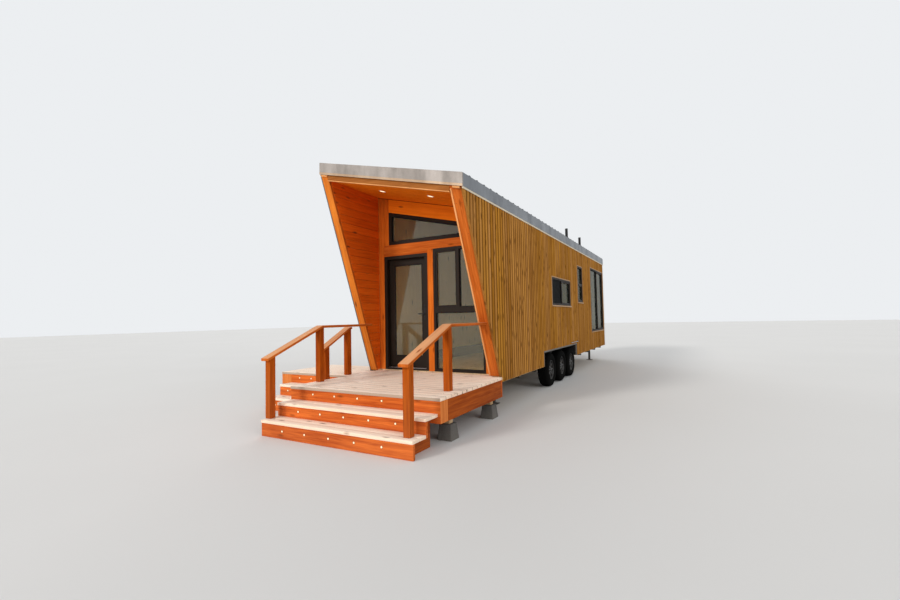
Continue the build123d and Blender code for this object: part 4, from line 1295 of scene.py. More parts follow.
@dataclass
class Cladding:
    """Boards on the outer walls and inside the porch."""

    shop: Workshop
    pitch: float = 0.1
    level_pitch: float = 0.135
    gap: float = 0.0012
    edge: float = 0.0034
    joint: float = 0.001
    under_ceiling: float = 0.003
    spare: float = 0.1
    well_foot: float = 0.3
    front_inset: float = 0.015
    corner: float = 0.03
    behind_right_trim: float = 0.001
    behind_left_trim: float = 0.021
    upright: float = 0.012
    beside_transom: float = 0.010
    over_transom: float = 0.009
    header: float = 0.014
    ceiling_end: float = -0.016
    # Where the dark strip of painted shadow under the porch ceiling lies.
    bead_y: Span = (-0.018, -0.009)
    bead_z: Span = (-0.014, -0.006)

    def build(self) -> None:
        """Build every board face."""
        self.side(Side.RIGHT)
        self.side(Side.LEFT)
        self.rear()
        self.porch_side(Side.LEFT)
        self.porch_side(Side.RIGHT)
        self.front()
        self.ceiling()

    def side(self, side: Side) -> None:
        """Board one side of the house and its porch wall with upright boards.

        Args:
            side: The side.
        """
        x = (side.value * SIZES.half_width, side.value * SIZES.siding_face)
        z = (SIZES.siding_foot, SIZES.roof_under(max(x)) - self.joint)
        along = spread(-SIZES.porch_reach + self.front_inset, SIZES.length, self.pitch, self.gap)
        obj = lay(f"{side.word}_wall_boards", [box(x, y, z) for y in along], self.edge)
        through = (x[0] - self.spare, x[1] + self.spare)
        holes = [box(through, *window) for window in SIZES.windows(side)]
        cut(obj, [*holes, box(through, SIZES.well_y, (self.well_foot, SIZES.well_top))])
        behind = self.behind_right_trim if side is Side.RIGHT else self.behind_left_trim
        self.slice_front(obj, side, behind)
        self.shop.settle(obj, "wall_side", "wall_boards")

    def slice_front(self, obj: Object, side: Side, behind: float) -> None:
        """Cut a side's boards along the porch's lean, behind the front of its trim."""
        foot = SIZES.rake_front(side, SIZES.floor_top) + behind
        slice_off(obj, (0, foot, SIZES.floor_top), (0, -1, -SIZES.rake(side)))

    def rear(self) -> None:
        """Board the rear wall, up to the sloping roof."""
        y = (SIZES.length, SIZES.length + SIZES.siding_thickness)
        reach = SIZES.half_width - self.corner
        boards = [
            box(x, y, (SIZES.siding_foot, SIZES.roof_under(x[0]) - self.joint))
            for x in spread(-reach, reach, self.pitch, self.gap)
        ]
        obj = lay("rear_wall_boards", boards, self.edge)
        slice_off(obj, (0, 0, SIZES.roof_under(0) - self.joint), (SIZES.roof_fall, 0, 1))
        self.shop.settle(obj, "wall_rear", "wall_boards")

    def porch_side(self, side: Side) -> None:
        """Board the inside of a porch wall with level boards.

        Args:
            side: The side.
        """
        x = (side.value * SIZES.half_room, side.value * SIZES.half_porch)
        top = SIZES.roof_under(x[1]) - SIZES.ceiling_thickness - 2 * self.joint
        levels = spread(SIZES.floor_top, top, self.level_pitch, self.gap)
        boards = [box(x, (-SIZES.porch_reach, -self.upright), z) for z in levels]
        obj = lay(f"{side.word}_porch_boards", boards, self.edge)
        self.slice_front(obj, side, SIZES.trim_thickness)
        self.shop.settle(obj, "porch_side", "porch_boards")

    def front(self) -> None:
        """Cover the front wall: uprights, headers, a sloping board over the transom, and a dark strip of
        painted shadow where the ceiling meets the wall.
        """
        inner, joint = SIZES.half_porch, self.joint
        (door_left, door_right), (_, door_head) = SIZES.door
        (window_left, window_right), (_, head) = SIZES.window
        left, right = SIZES.transom_x
        floor, sill, high = SIZES.floor_top, SIZES.transom_sill, SIZES.roof_under(-inner)
        under_ceiling = (0, 0, SIZES.roof_under(0) - SIZES.ceiling_thickness - self.under_ceiling)
        slope = (SIZES.roof_fall, 0, 1)
        thick, thin = (-self.upright, 0.0), (-self.beside_transom, 0.0)
        uprights = [
            box((-inner, door_left - joint), thick, (floor, high)),
            box((door_left, left), thin, (sill - joint, high)),
            box((right, inner), thin, (sill - joint, high)),
            box((door_right + joint, window_left - joint), thick, (floor, head)),
            box((window_right, inner), thick, (floor, head)),
        ]
        obj = lay("front_wall_uprights", uprights, edge=0.0025, segments=2)
        slice_off(obj, under_ceiling, slope)
        self.shop.settle(obj, "porch_upright", "trim_boards")
        rough = box((left, right), (-self.over_transom, 0.0), (sill + self.spare, high))
        over = start_block("front_wall_sloping_board", rough)
        slice_off(over, (0, 0, SIZES.roof_under(0) - SIZES.transom_drop), (-SIZES.roof_fall, 0, -1))
        slice_off(over, under_ceiling, slope)
        self.shop.settle(bevel_all(over, width=0.002), "porch_slope", "porch_boards")
        level = [
            box((door_left, door_right), thick, (door_head, head)),
            box((door_left, inner), (-self.header, 0.0), (head + joint, sill - 2 * joint)),
        ]
        self.shop.boards("front_wall_headers", level, "orange_x", "trim_boards", edge=0.003, segments=2)
        # A thin dark strip along the ceiling's corner: painted shadow where the ceiling meets the front wall.
        bead = lay("ceiling_corner_bead", [box((-inner, inner), self.bead_y, self.bead_z)], edge=0.001)
        self.shop.settle(hang(bead, SIZES.ceiling_thickness), "seam_brown", "porch_boards")

    def ceiling(self) -> None:
        """Board the porch ceiling along its slope."""
        x, z = (-SIZES.half_porch, SIZES.half_porch), (-SIZES.porch_lining, 0.0)
        front = -SIZES.porch_reach + SIZES.trim_thickness
        boards = [box(x, y, z) for y in spread(front, self.ceiling_end, self.level_pitch, self.gap)]
        obj = lay("porch_ceiling_boards", boards, self.edge)
        self.shop.settle(hang(obj, SIZES.ceiling_thickness), "porch_over", "porch_boards")


@dataclass
class Roof:
    """Ribs, flashing and vent boots on the roof, and the lips of its edging."""

    shop: Workshop
    rib_pitch: float = 0.245
    rib_height: float = 0.017
    rib_foot: float = 0.05
    rib_x: Span = (-1.19, 1.313)
    first_rib: float = -1.10
    rib_top: Triple = (0.998, 0.5, 1.0)
    sunk: float = 0.006
    end_depth: float = 0.012
    end_proud: float = 0.0015
    end_margin: float = 0.001
    end_top: Triple = (1.0, 0.6, 1.0)
    flashing_x: Span = (-1.300, -1.18)
    flashing_z: Span = (0.004, 0.0085)
    flashing_inset: float = 0.01
    front_lip: float = 0.0015
    rear_lip: float = 0.006
    end_lip_z: Span = (-0.005, 0.032)
    side_lip_clear: float = 0.0002
    side_lip_inset: float = 0.002
    side_lip_ends: float = 0.012
    side_lip_z: Span = (-0.026, 0.002)
    vents: tuple[Span, ...] = ((1.1, 5.2), (1.1, 6.77))
    boot: Section = (
        (0.0, 0.105), (0.004, 0.105), (0.010, 0.085), (0.035, 0.056), (0.062, 0.042), (0.066, 0.036),
        (0.0, 0.036),
    )

    def build(self) -> None:
        """Build every piece of the roof."""
        self.ribs()
        y = (SIZES.roof_front + self.flashing_inset, SIZES.roof_rear - self.flashing_inset)
        flashing = lay("roof_flashing", [box(self.flashing_x, y, self.flashing_z)], edge=0.001)
        self.shop.settle(self.on_slope(flashing), "roof_sheet", "roof_metal")
        self.lips()
        places = [Matrix.Translation((x, y, 0.0)) for x, y in self.vents]
        boots = copies("vent_boots", spun("boot", self.boot, 40, "Z"), places)
        self.shop.settle(lift(boots, lambda at: SIZES.roof_top(at.x)), "gasket", "black_plastic")

    def on_slope(self, obj: Object) -> Object:
        """Lift a flat piece onto the roof's slope, sunk in a little."""
        return lift(obj, lambda at: SIZES.roof_top(at.x) - self.sunk)

    def ribs(self) -> None:
        """Lay the ribs of the metal sheets, each with sloping sides and a dark lower end."""
        count = int((SIZES.length - self.first_rib) / self.rib_pitch) + 1
        places = [Matrix.Translation((0, self.first_rib + i * self.rib_pitch, 0)) for i in range(count)]
        half = self.rib_foot / 2
        rib = start_block("rib", box(self.rib_x, (-half, half), (0, self.rib_height)))
        bevel_all(shape_top(rib, self.rib_top, about=(0.0, 0.0, 0.0)), width=0.003)
        self.shop.settle(self.on_slope(copies("roof_ribs", rib, places)), "roof_sheet", "roof_metal")
        x = (self.rib_x[1] - self.end_depth, self.rib_x[1] + self.end_proud)
        y = (-half - self.end_margin, half + self.end_margin)
        end = start_block("rib_end", box(x, y, (0, self.rib_height + self.end_proud)))
        bevel_all(shape_top(end, self.end_top, about=(x[0], 0.0, 0.0)), width=0.001)
        self.shop.settle(self.on_slope(copies("roof_rib_ends", end, places)), "rib_end", "roof_metal")

    def lips(self) -> None:
        """Fold the lower lips of the edging on all four sides."""
        x, front, rear = SIZES.half_roof, SIZES.roof_front, SIZES.roof_rear
        spans = ((front - self.front_lip, front), (rear, rear + self.rear_lip))
        ends = lay("end_edging_lips", [box((-x, x), y, self.end_lip_z) for y in spans], edge=0.0012)
        self.shop.settle(hang(ends), "edge_lip", "edge_metal")
        reach = (SIZES.siding_face + self.side_lip_clear, x - self.side_lip_inset)
        y = (front + self.side_lip_ends, rear - self.side_lip_ends)
        sides = []
        for way in (Side.LEFT.value, Side.RIGHT.value):
            z = tuple(SIZES.roof_under(way * x) + off for off in self.side_lip_z)
            sides.append(box((way * reach[0], way * reach[1]), y, z))
        self.shop.boards("side_edging_lips", sides, "cream_trim", "edge_metal", edge=0.0012)


@dataclass(frozen=True)
class LeaningStrip:
    """A board or strip on the leaning edge of a porch wall.

    It stands proud of the trim behind it, and its head ends below the highest place there is.
    """

    name: str
    side: Side
    x: Span
    proud: float
    foot: float
    finish: str
    slot: str = "trim_boards"
    below: float = 0.0


@dataclass
class PorchTrims:
    """Flat boards over the leaning edges of the porch walls, and strips on the beam between them."""

    shop: Workshop
    strips: tuple[LeaningStrip, ...] = (
        LeaningStrip("right_porch_trim_board", Side.RIGHT, (1.129, 1.266), 0.006, 0.590, "orange_lean"),
        LeaningStrip("right_porch_trim_edge", Side.RIGHT, (1.1005, 1.125), 0.011, 0.590, "tan_lean"),
        # The siding's front edge is darker than the wall: painted shade beside the trim.
        LeaningStrip(
            "right_siding_front_edge", Side.RIGHT, (1.268, 1.3018), 0.004, 0.514, "wall_edge", "wall_boards",
            below=0.012,
        ),
        LeaningStrip("left_porch_trim_board", Side.LEFT, (-1.286, -1.156), 0.006, 0.590, "sunlit_lean"),
        LeaningStrip(
            "left_porch_metal_edge", Side.LEFT, (-1.302, -1.288), 0.012, 0.544, "side_sheet", "edge_metal"
        ),
    )
    depth: float = 0.02
    into_edging: float = 0.004
    under_roof: float = 0.002
    beam_x: Span = (-1.154, 1.0995)
    beam_y: Span = (-1.3195, -1.290)
    beam_z: Span = (-0.003, 0.010)
    beam_drop: float = 0.095
    # Where the light blocks that paint a glint of sunlight on the trims' tops lie.
    caps_x: tuple[Span, Span] = ((-1.290, -1.165), (1.150, 1.262))
    caps_y: Span = (-1.330, -1.300)
    caps_z: Span = (-0.034, -0.002)

    def build(self) -> None:
        """Build the leaning strips, a light strip under the beam, and light blocks on the trims' tops that
        paint a glint of sunlight there.
        """
        tops = {
            Side.RIGHT: SIZES.roof_under(SIZES.half_roof) + self.into_edging,
            Side.LEFT: SIZES.roof_under(-SIZES.half_room) - self.under_roof,
        }
        for strip in self.strips:
            block = box(strip.x, (-strip.proud, self.depth), (strip.foot, tops[strip.side] - strip.below))
            obj = lay(strip.name, [block], edge=0.0025, segments=2)
            for vertex in obj.data.vertices:
                vertex.co.y += SIZES.rake_front(strip.side, vertex.co.z)
            self.shop.settle(obj, strip.finish, strip.slot)
        beam = lay("beam_edge_strip", [box(self.beam_x, self.beam_y, self.beam_z)], edge=0.001)
        self.shop.settle(hang(beam, self.beam_drop), "tan_edge", "trim_boards")
        # Light blocks on the trims' tops: painted glint of sunlight on the trims' ends.
        glints = [box(x, self.caps_y, self.caps_z) for x in self.caps_x]
        self.shop.settle(hang(lay("trim_end_caps", glints, edge=0.002)), "tan_edge", "trim_boards")


@dataclass
class Deck:
    """The planks of the deck, its landing and the treads."""

    shop: Workshop
    edge: float = 0.004
    porch_right: float = 1.15
    porch_plank: Span = (-0.172, -0.002)
    landing_at_deck: float = -1.154
    landing_at_wall: float = -1.316

    def build(self) -> None:
        """Build the planks of the deck, the landing and both flights."""
        z = (DECK.under, DECK.top)
        deck = [box((DECK.left, DECK.right), y, z) for y in DECK.planks((DECK.front, DECK.gap_at_wall))]
        deck.append(box((DECK.left, self.porch_right), self.porch_plank, z))
        self.planks("deck_planks", deck, "deck_boards", "deck_boards")
        landing = []
        for y in DECK.planks(DECK.landing_y):
            end = self.landing_at_deck if y[1] <= DECK.gap_at_wall else self.landing_at_wall
            landing.append(box((DECK.landing_x[0], end), y, z))
        self.planks("landing_planks", landing, "landing_boards", "landing_boards")
        for flight in FLIGHTS:
            self.treads(flight)

    def planks(self, name: str, planks: Sequence[Box], finish: str, node: str) -> None:
        """Lay rounded planks that stand for a CAD node."""
        self.shop.boards(name, planks, finish, "deck_timber", self.edge, segments=2, replaces=[node])

    def treads(self, flight: Flight) -> None:
        """Lay two planks on each step of a flight.

        Args:
            flight: The flight.
        """
        planks = []
        half = (DECK.run + DECK.nosing - DECK.plank_gap) / 2
        for step in flight.steps:
            front, top = DECK.step(flight.nosing, step)
            for start in (front, front + half + DECK.plank_gap):
                planks.append(box(flight.tread_x, (start, start + half), (top - DECK.plank_thickness, top)))
        self.planks(f"{flight.name}_treads", planks, "tread_boards", f"{flight.name}_step_treads")


@dataclass
class DeckFrames:
    """Rims, joists, risers and stringers, each with its grain along it."""

    shop: Workshop
    edge: float = 0.003
    rim_inset: float = 0.004
    under_tread: float = 0.002
    corner_board: Box = box((1.3405, 1.345), (-2.079, -1.905), (0.282, 0.541))
    landing_block: Box = box((-2.747, -2.504), (-0.894, -0.887), (0.300, 0.541))

    def build(self) -> None:
        """Build the frames of the deck and the landing, and both flights' risers."""
        right = DECK.right - self.rim_inset
        y = (DECK.front + DECK.nosing, DECK.gap_at_wall)
        self.frame("deck", (DECK.left, right), y, DECK.deck_joists, right)
        y = (DECK.landing_y[0] + DECK.nosing, DECK.landing_y[1])
        self.frame("landing", DECK.landing_x, y, DECK.landing_joists, DECK.left)
        for flight in FLIGHTS:
            self.risers(flight)
        blocks = [self.corner_board, self.landing_block]
        self.shop.boards("deck_corner_boards", blocks, "light_block", "stained_timber", edge=0.001)

    def frame(self, name: str, x: Span, y: Span, piers: Span, front_end: float) -> None:
        """Lay a frame's rims and joists.

        Args:
            name: The start of the pieces' names.
            x: The frame's span along X.
            y: Its span along Y.
            piers: The first and last joists' x, over the pier blocks.
            front_end: Where the front rim ends.
        """
        thick, z = DECK.timber, (DECK.frame_foot, DECK.under)
        between = (y[0] + thick, y[1] - thick)
        sides = [box(span, between, z) for span in ((x[0], x[0] + thick), (x[1] - thick, x[1]))]
        sides += [box((at - thick / 2, at + thick / 2), between, z) for at in DECK.joists(piers)]
        ends = [box((x[0], front_end), (y[0], y[0] + thick), z), box(x, (y[1] - thick, y[1]), z)]
        node = [f"{name}_frame"]
        self.shop.boards(f"{name}_rims_y", sides, "post_y", "stained_timber", self.edge, 2, node)
        self.shop.boards(f"{name}_rims_x", ends, "rim_x", "stained_timber", self.edge, 2)

    def risers(self, flight: Flight) -> None:
        """Lay a flight's risers and the stringers behind them.

        Args:
            flight: The flight.
        """
        thick = DECK.timber
        steps = [DECK.step(flight.nosing, number) for number in flight.steps]
        first, second = (front + DECK.nosing for front, _ in steps)
        high, low = (top - DECK.plank_thickness for _, top in steps)
        risers = [
            box(flight.x, (first, first + thick), (low, high)),
            box(flight.x, (second, second + thick), (0.0, low)),
        ]
        stringers = []
        for middle in flight.stringers:
            for front, z in ((first, (low + self.under_tread, high)), (second, (0.0, low))):
                y = (front + thick, flight.nosing + DECK.nosing)
                stringers.append(box((middle - thick / 2, middle + thick / 2), y, z))
        node = [f"{flight.name}_step_risers"]
        self.shop.boards(f"{flight.name}_risers", risers, "rim_x", "stained_timber", self.edge, 2, node)
        self.shop.boards(f"{flight.name}_stringers", stringers, "post_y", "stained_timber", self.edge)


@dataclass
class Screws:
    """Screw heads in the deck's planks, the treads and the porch trims."""

    shop: Workshop
    radius: float = 0.0042
    height: float = 0.0016
    sides: int = 10
    rim: float = 0.0018
    dish: float = 0.0007
    off_middle: float = 0.045
    deck_end: float = 1.322
    landing_end: float = -2.731
    tread_offsets: tuple[float, ...] = (0.030, 0.105, 0.165, 0.240)
    trim_columns: tuple[tuple[Side, Span], ...] = (
        (Side.LEFT, (-1.262, -1.180)), (Side.RIGHT, (1.152, 1.243)),
    )
    trim_rows: int = 7
    trim_first: float = 0.10
    trim_pitch: float = 0.40
    trim_proud: float = 0.0062

    def build(self) -> None:
        """Copy one head to every place."""
        head = start_tube("screw", (0, 0, 0), self.radius, self.height, self.sides)
        pick_top(head)
        bpy.ops.mesh.inset(thickness=self.rim)
        bpy.ops.transform.translate(value=(0, 0, -self.dish))
        leave_edit()
        flat = [Matrix.Translation(spot) for spot in self.deck_spots() + self.tread_spots()]
        twin = copy_of(head, Matrix.Identity(4))
        self.shop.settle(copies("deck_screws", head, flat), "zinc", "jack_steel")
        self.shop.settle(copies("trim_screws", twin, self.trim_places()), "chassis", "jack_steel")

    def deck_spots(self) -> list[Triple]:
        """Find the screws over the joists of the deck and the landing.

        Returns:
            Their places.
        """
        spots = []
        for span, piers, end in (
            ((DECK.front, DECK.gap_at_wall), DECK.deck_joists, self.deck_end),
            (DECK.landing_y, DECK.landing_joists, self.landing_end),
        ):
            for low, high in DECK.planks(span):
                middle = (low + high) / 2
                across = (middle - self.off_middle, middle + self.off_middle)
                spots += [(x, y, DECK.top) for x in (*DECK.joists(piers), end) for y in across]
        return spots

    def tread_spots(self) -> list[Triple]:
        """Find the screws over the stringers of both flights.

        Returns:
            Their places.
        """
        spots = []
        for flight in FLIGHTS:
            for step in flight.steps:
                front, top = DECK.step(flight.nosing, step)
                spots += [(x, front + off, top) for x in flight.stringers for off in self.tread_offsets]
        return spots

    def trim_places(self) -> list[Matrix]:
        """Find the screws on the leaning trims, each turned to face out of its board.

        Returns:
            Their places.
        """
        places = []
        for side, columns in self.trim_columns:
            turn = Matrix.Rotation(QUARTER + math.atan(SIZES.rake(side)), 4, "X")
            for row in range(self.trim_rows):
                z = SIZES.floor_top + self.trim_first + row * self.trim_pitch
                y = SIZES.rake_front(side, z) - self.trim_proud
                places += [Matrix.Translation((x, y, z)) @ turn for x in columns]
        return places


@dataclass(frozen=True)
class RailRun:
    """A handrail: where its slope starts and ends, its undersides there, and its level end."""

    name: str
    x: float
    slope_y: Span
    slope_z: Span
    end: float
    finish: str
    replaces: tuple[str, ...] = ()


@dataclass
class Rails:
    """Rounded handrails: a sloping piece down each flight, and a level piece to its end."""

    shop: Workshop
    half: float = 0.07
    thick: float = 0.038
    tail: float = 0.095
    edge: float = 0.006
    butt: float = 0.0005
    front_y: Span = (-2.4895, -1.59)
    front_z: Span = (1.024, 1.402)
    into_trim: float = 0.004
    right_x: float = 1.1755
    left_x: float = -1.0755
    landing: RailRun = RailRun("landing", -1.2495, (-1.2995, -0.78), (1.075, 1.357), -0.7355, "rail_side")

    def build(self) -> None:
        """Build the three runs: two down the front flight, which end on the trims, and the landing's."""
        front, high = (self.front_y, self.front_z), self.front_z[1]
        right = SIZES.rake_front(Side.RIGHT, high) + self.into_trim
        left = SIZES.rake_front(Side.LEFT, high) + self.into_trim
        self.run(RailRun("right", self.right_x, *front, right, "rail_front", ("handrails",)))
        self.run(RailRun("left", self.left_x, *front, left, "rail_front"))
        self.run(self.landing)

    def run(self, rail: RailRun) -> None:
        """Build one run.

        Args:
            rail: The run.
        """
        (low_y, high_y), (low, high) = rail.slope_y, rail.slope_z
        rise = (high - low) / (high_y - low_y)
        x = (rail.x - self.half, rail.x + self.half)
        block = box(x, (low_y - self.tail, high_y), (0.0, self.thick))
        sloping = lay(f"{rail.name}_rail_slope", [block], self.edge, segments=3)
        lift(sloping, lambda at: low + (at.y - low_y) * rise)
        self.shop.settle(sloping, rail.finish, "stained_timber", replaces=rail.replaces)
        level = box(x, (high_y + self.butt, rail.end), (high, high + self.thick))
        self.shop.boards(f"{rail.name}_rail_level", [level], "rail_level", "stained_timber", self.edge, 3)


@dataclass
class Lamps:
    """Small lamps in the risers and the porch ceiling, by the sections of their rings and lenses."""

    shop: Workshop
    columns: tuple[tuple[float, ...], ...] = (
        (-0.715, -0.315, 0.085, 0.485, 0.885), (-2.30, -2.01, -1.72, -1.43),
    )
    in_rim: int = 4
    heights: Triple = (0.487, 0.299, 0.100)
    ceiling: tuple[Span, ...] = ((-0.484, -0.75), (0.440, -0.73))
    under_boards: float = 0.007
    bezel: Section = ((0.0, 0.0165), (0.004, 0.0155), (0.005, 0.0140), (0.004, 0.0115), (0.0, 0.0110))
    lens: Section = ((0.0, 0.0004), (0.0, 0.0112), (0.0022, 0.0108), (0.0040, 0.007), (0.0045, 0.0004))
    trim: Section = ((0.0, 0.058), (-0.004, 0.056), (-0.006, 0.050), (-0.004, 0.042), (0.0, 0.041))
    glow: Section = ((0.0, 0.0006), (0.0, 0.0425), (-0.003, 0.040), (-0.004, 0.0006))

    def build(self) -> None:
        """Build the riser lamps and the ceiling lamps."""
        forward = Matrix.Rotation(-QUARTER, 4, "Z")
        places = [Matrix.Translation(spot) @ forward for spot in self.riser_spots()]
        bezels = copies("riser_lamp_bezels", spun("bezel", self.bezel, steps=20), places)
        self.shop.settle(bezels, "lamp_rim", "jack_steel")
        lenses = copies("riser_lamp_lenses", spun("lens", self.lens, steps=16), places)
        self.shop.settle(lenses, "lamp_riser", "window_glass")
        places = [Matrix.Translation((x, y, -self.under_boards)) for x, y in self.ceiling]
        trims = copies("ceiling_lamp_trims", spun("trim", self.trim, steps=40, axis="Z"), places)
        self.shop.settle(hang(trims, SIZES.ceiling_thickness), "white_trim", "jack_steel")
        glows = copies("ceiling_lamp_lenses", spun("glow", self.glow, steps=32, axis="Z"), places)
        self.shop.settle(hang(glows, SIZES.ceiling_thickness), "lamp_warm", "window_glass")

    def riser_spots(self) -> list[Triple]:
        """Find the lamps in the rims over both flights and in the risers.

        Returns:
            Their places.
        """
        spots = []
        for flight, columns in zip(FLIGHTS, self.columns):
            for step, z in enumerate(self.heights):
                y = DECK.step(flight.nosing, step)[0] + DECK.nosing
                spots += [(x, y, z) for x in (columns if step else columns[:self.in_rim])]
        return spots


@dataclass
class DoorDetail:
    """Glazing beads, threshold ribs and a lock for the front door."""

    shop: Workshop
    glass_x: Span = (-0.864, -0.254)
    glass_z: Span = (0.841, 2.509)
    outer_face: float = 0.0765
    inner_face: float = 0.1175
    seal_face: float = 0.0815
    rib_x: Span = (-0.955, -0.160)
    rib_z: Span = (0.633, 0.6385)
    rib_start: float = 0.004
    rib_width: float = 0.008
    rib_pitch: float = 0.018
    ribs: int = 4
    lock_at: Triple = (-0.1965, 0.0752, 1.745)
    lock: Section = (
        (0.0, 0.0005), (0.0, 0.026), (0.008, 0.025), (0.011, 0.020), (0.016, 0.015), (0.017, 0.0005),
    )

    def build(self) -> None:
        """Build every piece."""
        outside = rectangle_xz(self.glass_x, self.glass_z, self.outer_face)
        inside = rectangle_xz(self.glass_x[::-1], self.glass_z, self.inner_face)
        beads = [ring("bead", corners, bar=0.014, depth=0.008) for corners in (outside, inside)]
        self.shop.settle(join("door_glazing_beads", beads), "bronze", "bronze_frame", DOOR)
        middle = rectangle_xz(self.glass_x, self.glass_z, self.seal_face)
        seal = ring("door_glass_seal", middle, bar=0.020, depth=0.004, edge=0.001)
        self.shop.settle(seal, "gasket", "bronze_frame", DOOR)
        starts = [self.rib_start + self.rib_pitch * number for number in range(self.ribs)]
        ribs = [box(self.rib_x, (y, y + self.rib_width), self.rib_z) for y in starts]
        self.shop.boards("door_threshold_ribs", ribs, "zinc", "bronze_frame", edge=0.0015)
        lock = spun("door_lock", self.lock, 32)
        lock.data.transform(Matrix.Translation(self.lock_at) @ Matrix.Rotation(-QUARTER, 4, "Z"))
        self.shop.settle(lock, "black_plastic", "black_metal", DOOR)


@dataclass
class FrontWindows:
    """Seals round the fixed panes, a sliding sash and a sill in the tall window."""

    shop: Workshop
    rail: Span = (1.010, 1.107)
    glass_face: float = 0.018
    sash_face: float = 0.002
    sill_overhang: float = 0.002
    sill_y: Span = (-0.020, -0.004)
    sill_z: Span = (0.601, 0.618)
    transom_bar: float = 0.065
    least_height: float = 0.03

    def build(self) -> None:
        """Build the seals, the sash and the sill."""
        (left, right), (bottom, top) = SIZES.window
        bar, middle = SIZES.window_bar, (left + right) / 2
        low, high = (bottom + height for height in self.rail)
        first = ((left + bar, middle - bar / 2), (high, top - bar))
        second = ((middle + bar / 2, right - bar), (high, top - bar))
        lower = ((left + bar, right - bar), (bottom + bar, low))
        panes = [rectangle_xz(x, z, self.glass_face) for x, z in (lower, first, second)]
        panes.append(self.transom_corners(self.glass_face))
        seals = [ring("seal", pane, bar=0.009, depth=0.010, edge=0.001) for pane in panes]
        self.shop.settle(join("front_window_seals", seals), "gasket", "bronze_frame")
        sash = ring("front_window_sash", rectangle_xz(*first, self.sash_face), bar=0.030, depth=0.016)
        self.shop.settle(sash, "bronze", "bronze_frame")
        sill = box((left - self.sill_overhang, right + self.sill_overhang), self.sill_y, self.sill_z)
        self.shop.boards("front_window_sill", [sill], "bronze", "bronze_frame", edge=0.003)

    def transom_corners(self, y: float) -> list[Triple]:
        """Find the corners of the pane of the sloping window over the door.

        Args:
            y: The plane.

        Returns:
            The corners, as seen from the front.
        """
        bar = self.transom_bar
        left, right, low = SIZES.transom_x[0] + bar, SIZES.transom_x[1] - bar, SIZES.transom_sill + bar
        drop = SIZES.transom_drop + bar * math.hypot(1.0, SIZES.roof_fall)
        short, tall = (SIZES.roof_under(x) - drop for x in (right, left))
        short = max(short, low + self.least_height)
        return [(left, y, low), (right, y, low), (right, y, short), (left, y, tall)]


def inward(face: float, section: Section) -> list[tuple[float, float]]:
    """Turn a section's depths under a face into distances along the axis."""
    return [(face - depth, radius) for depth, radius in section]


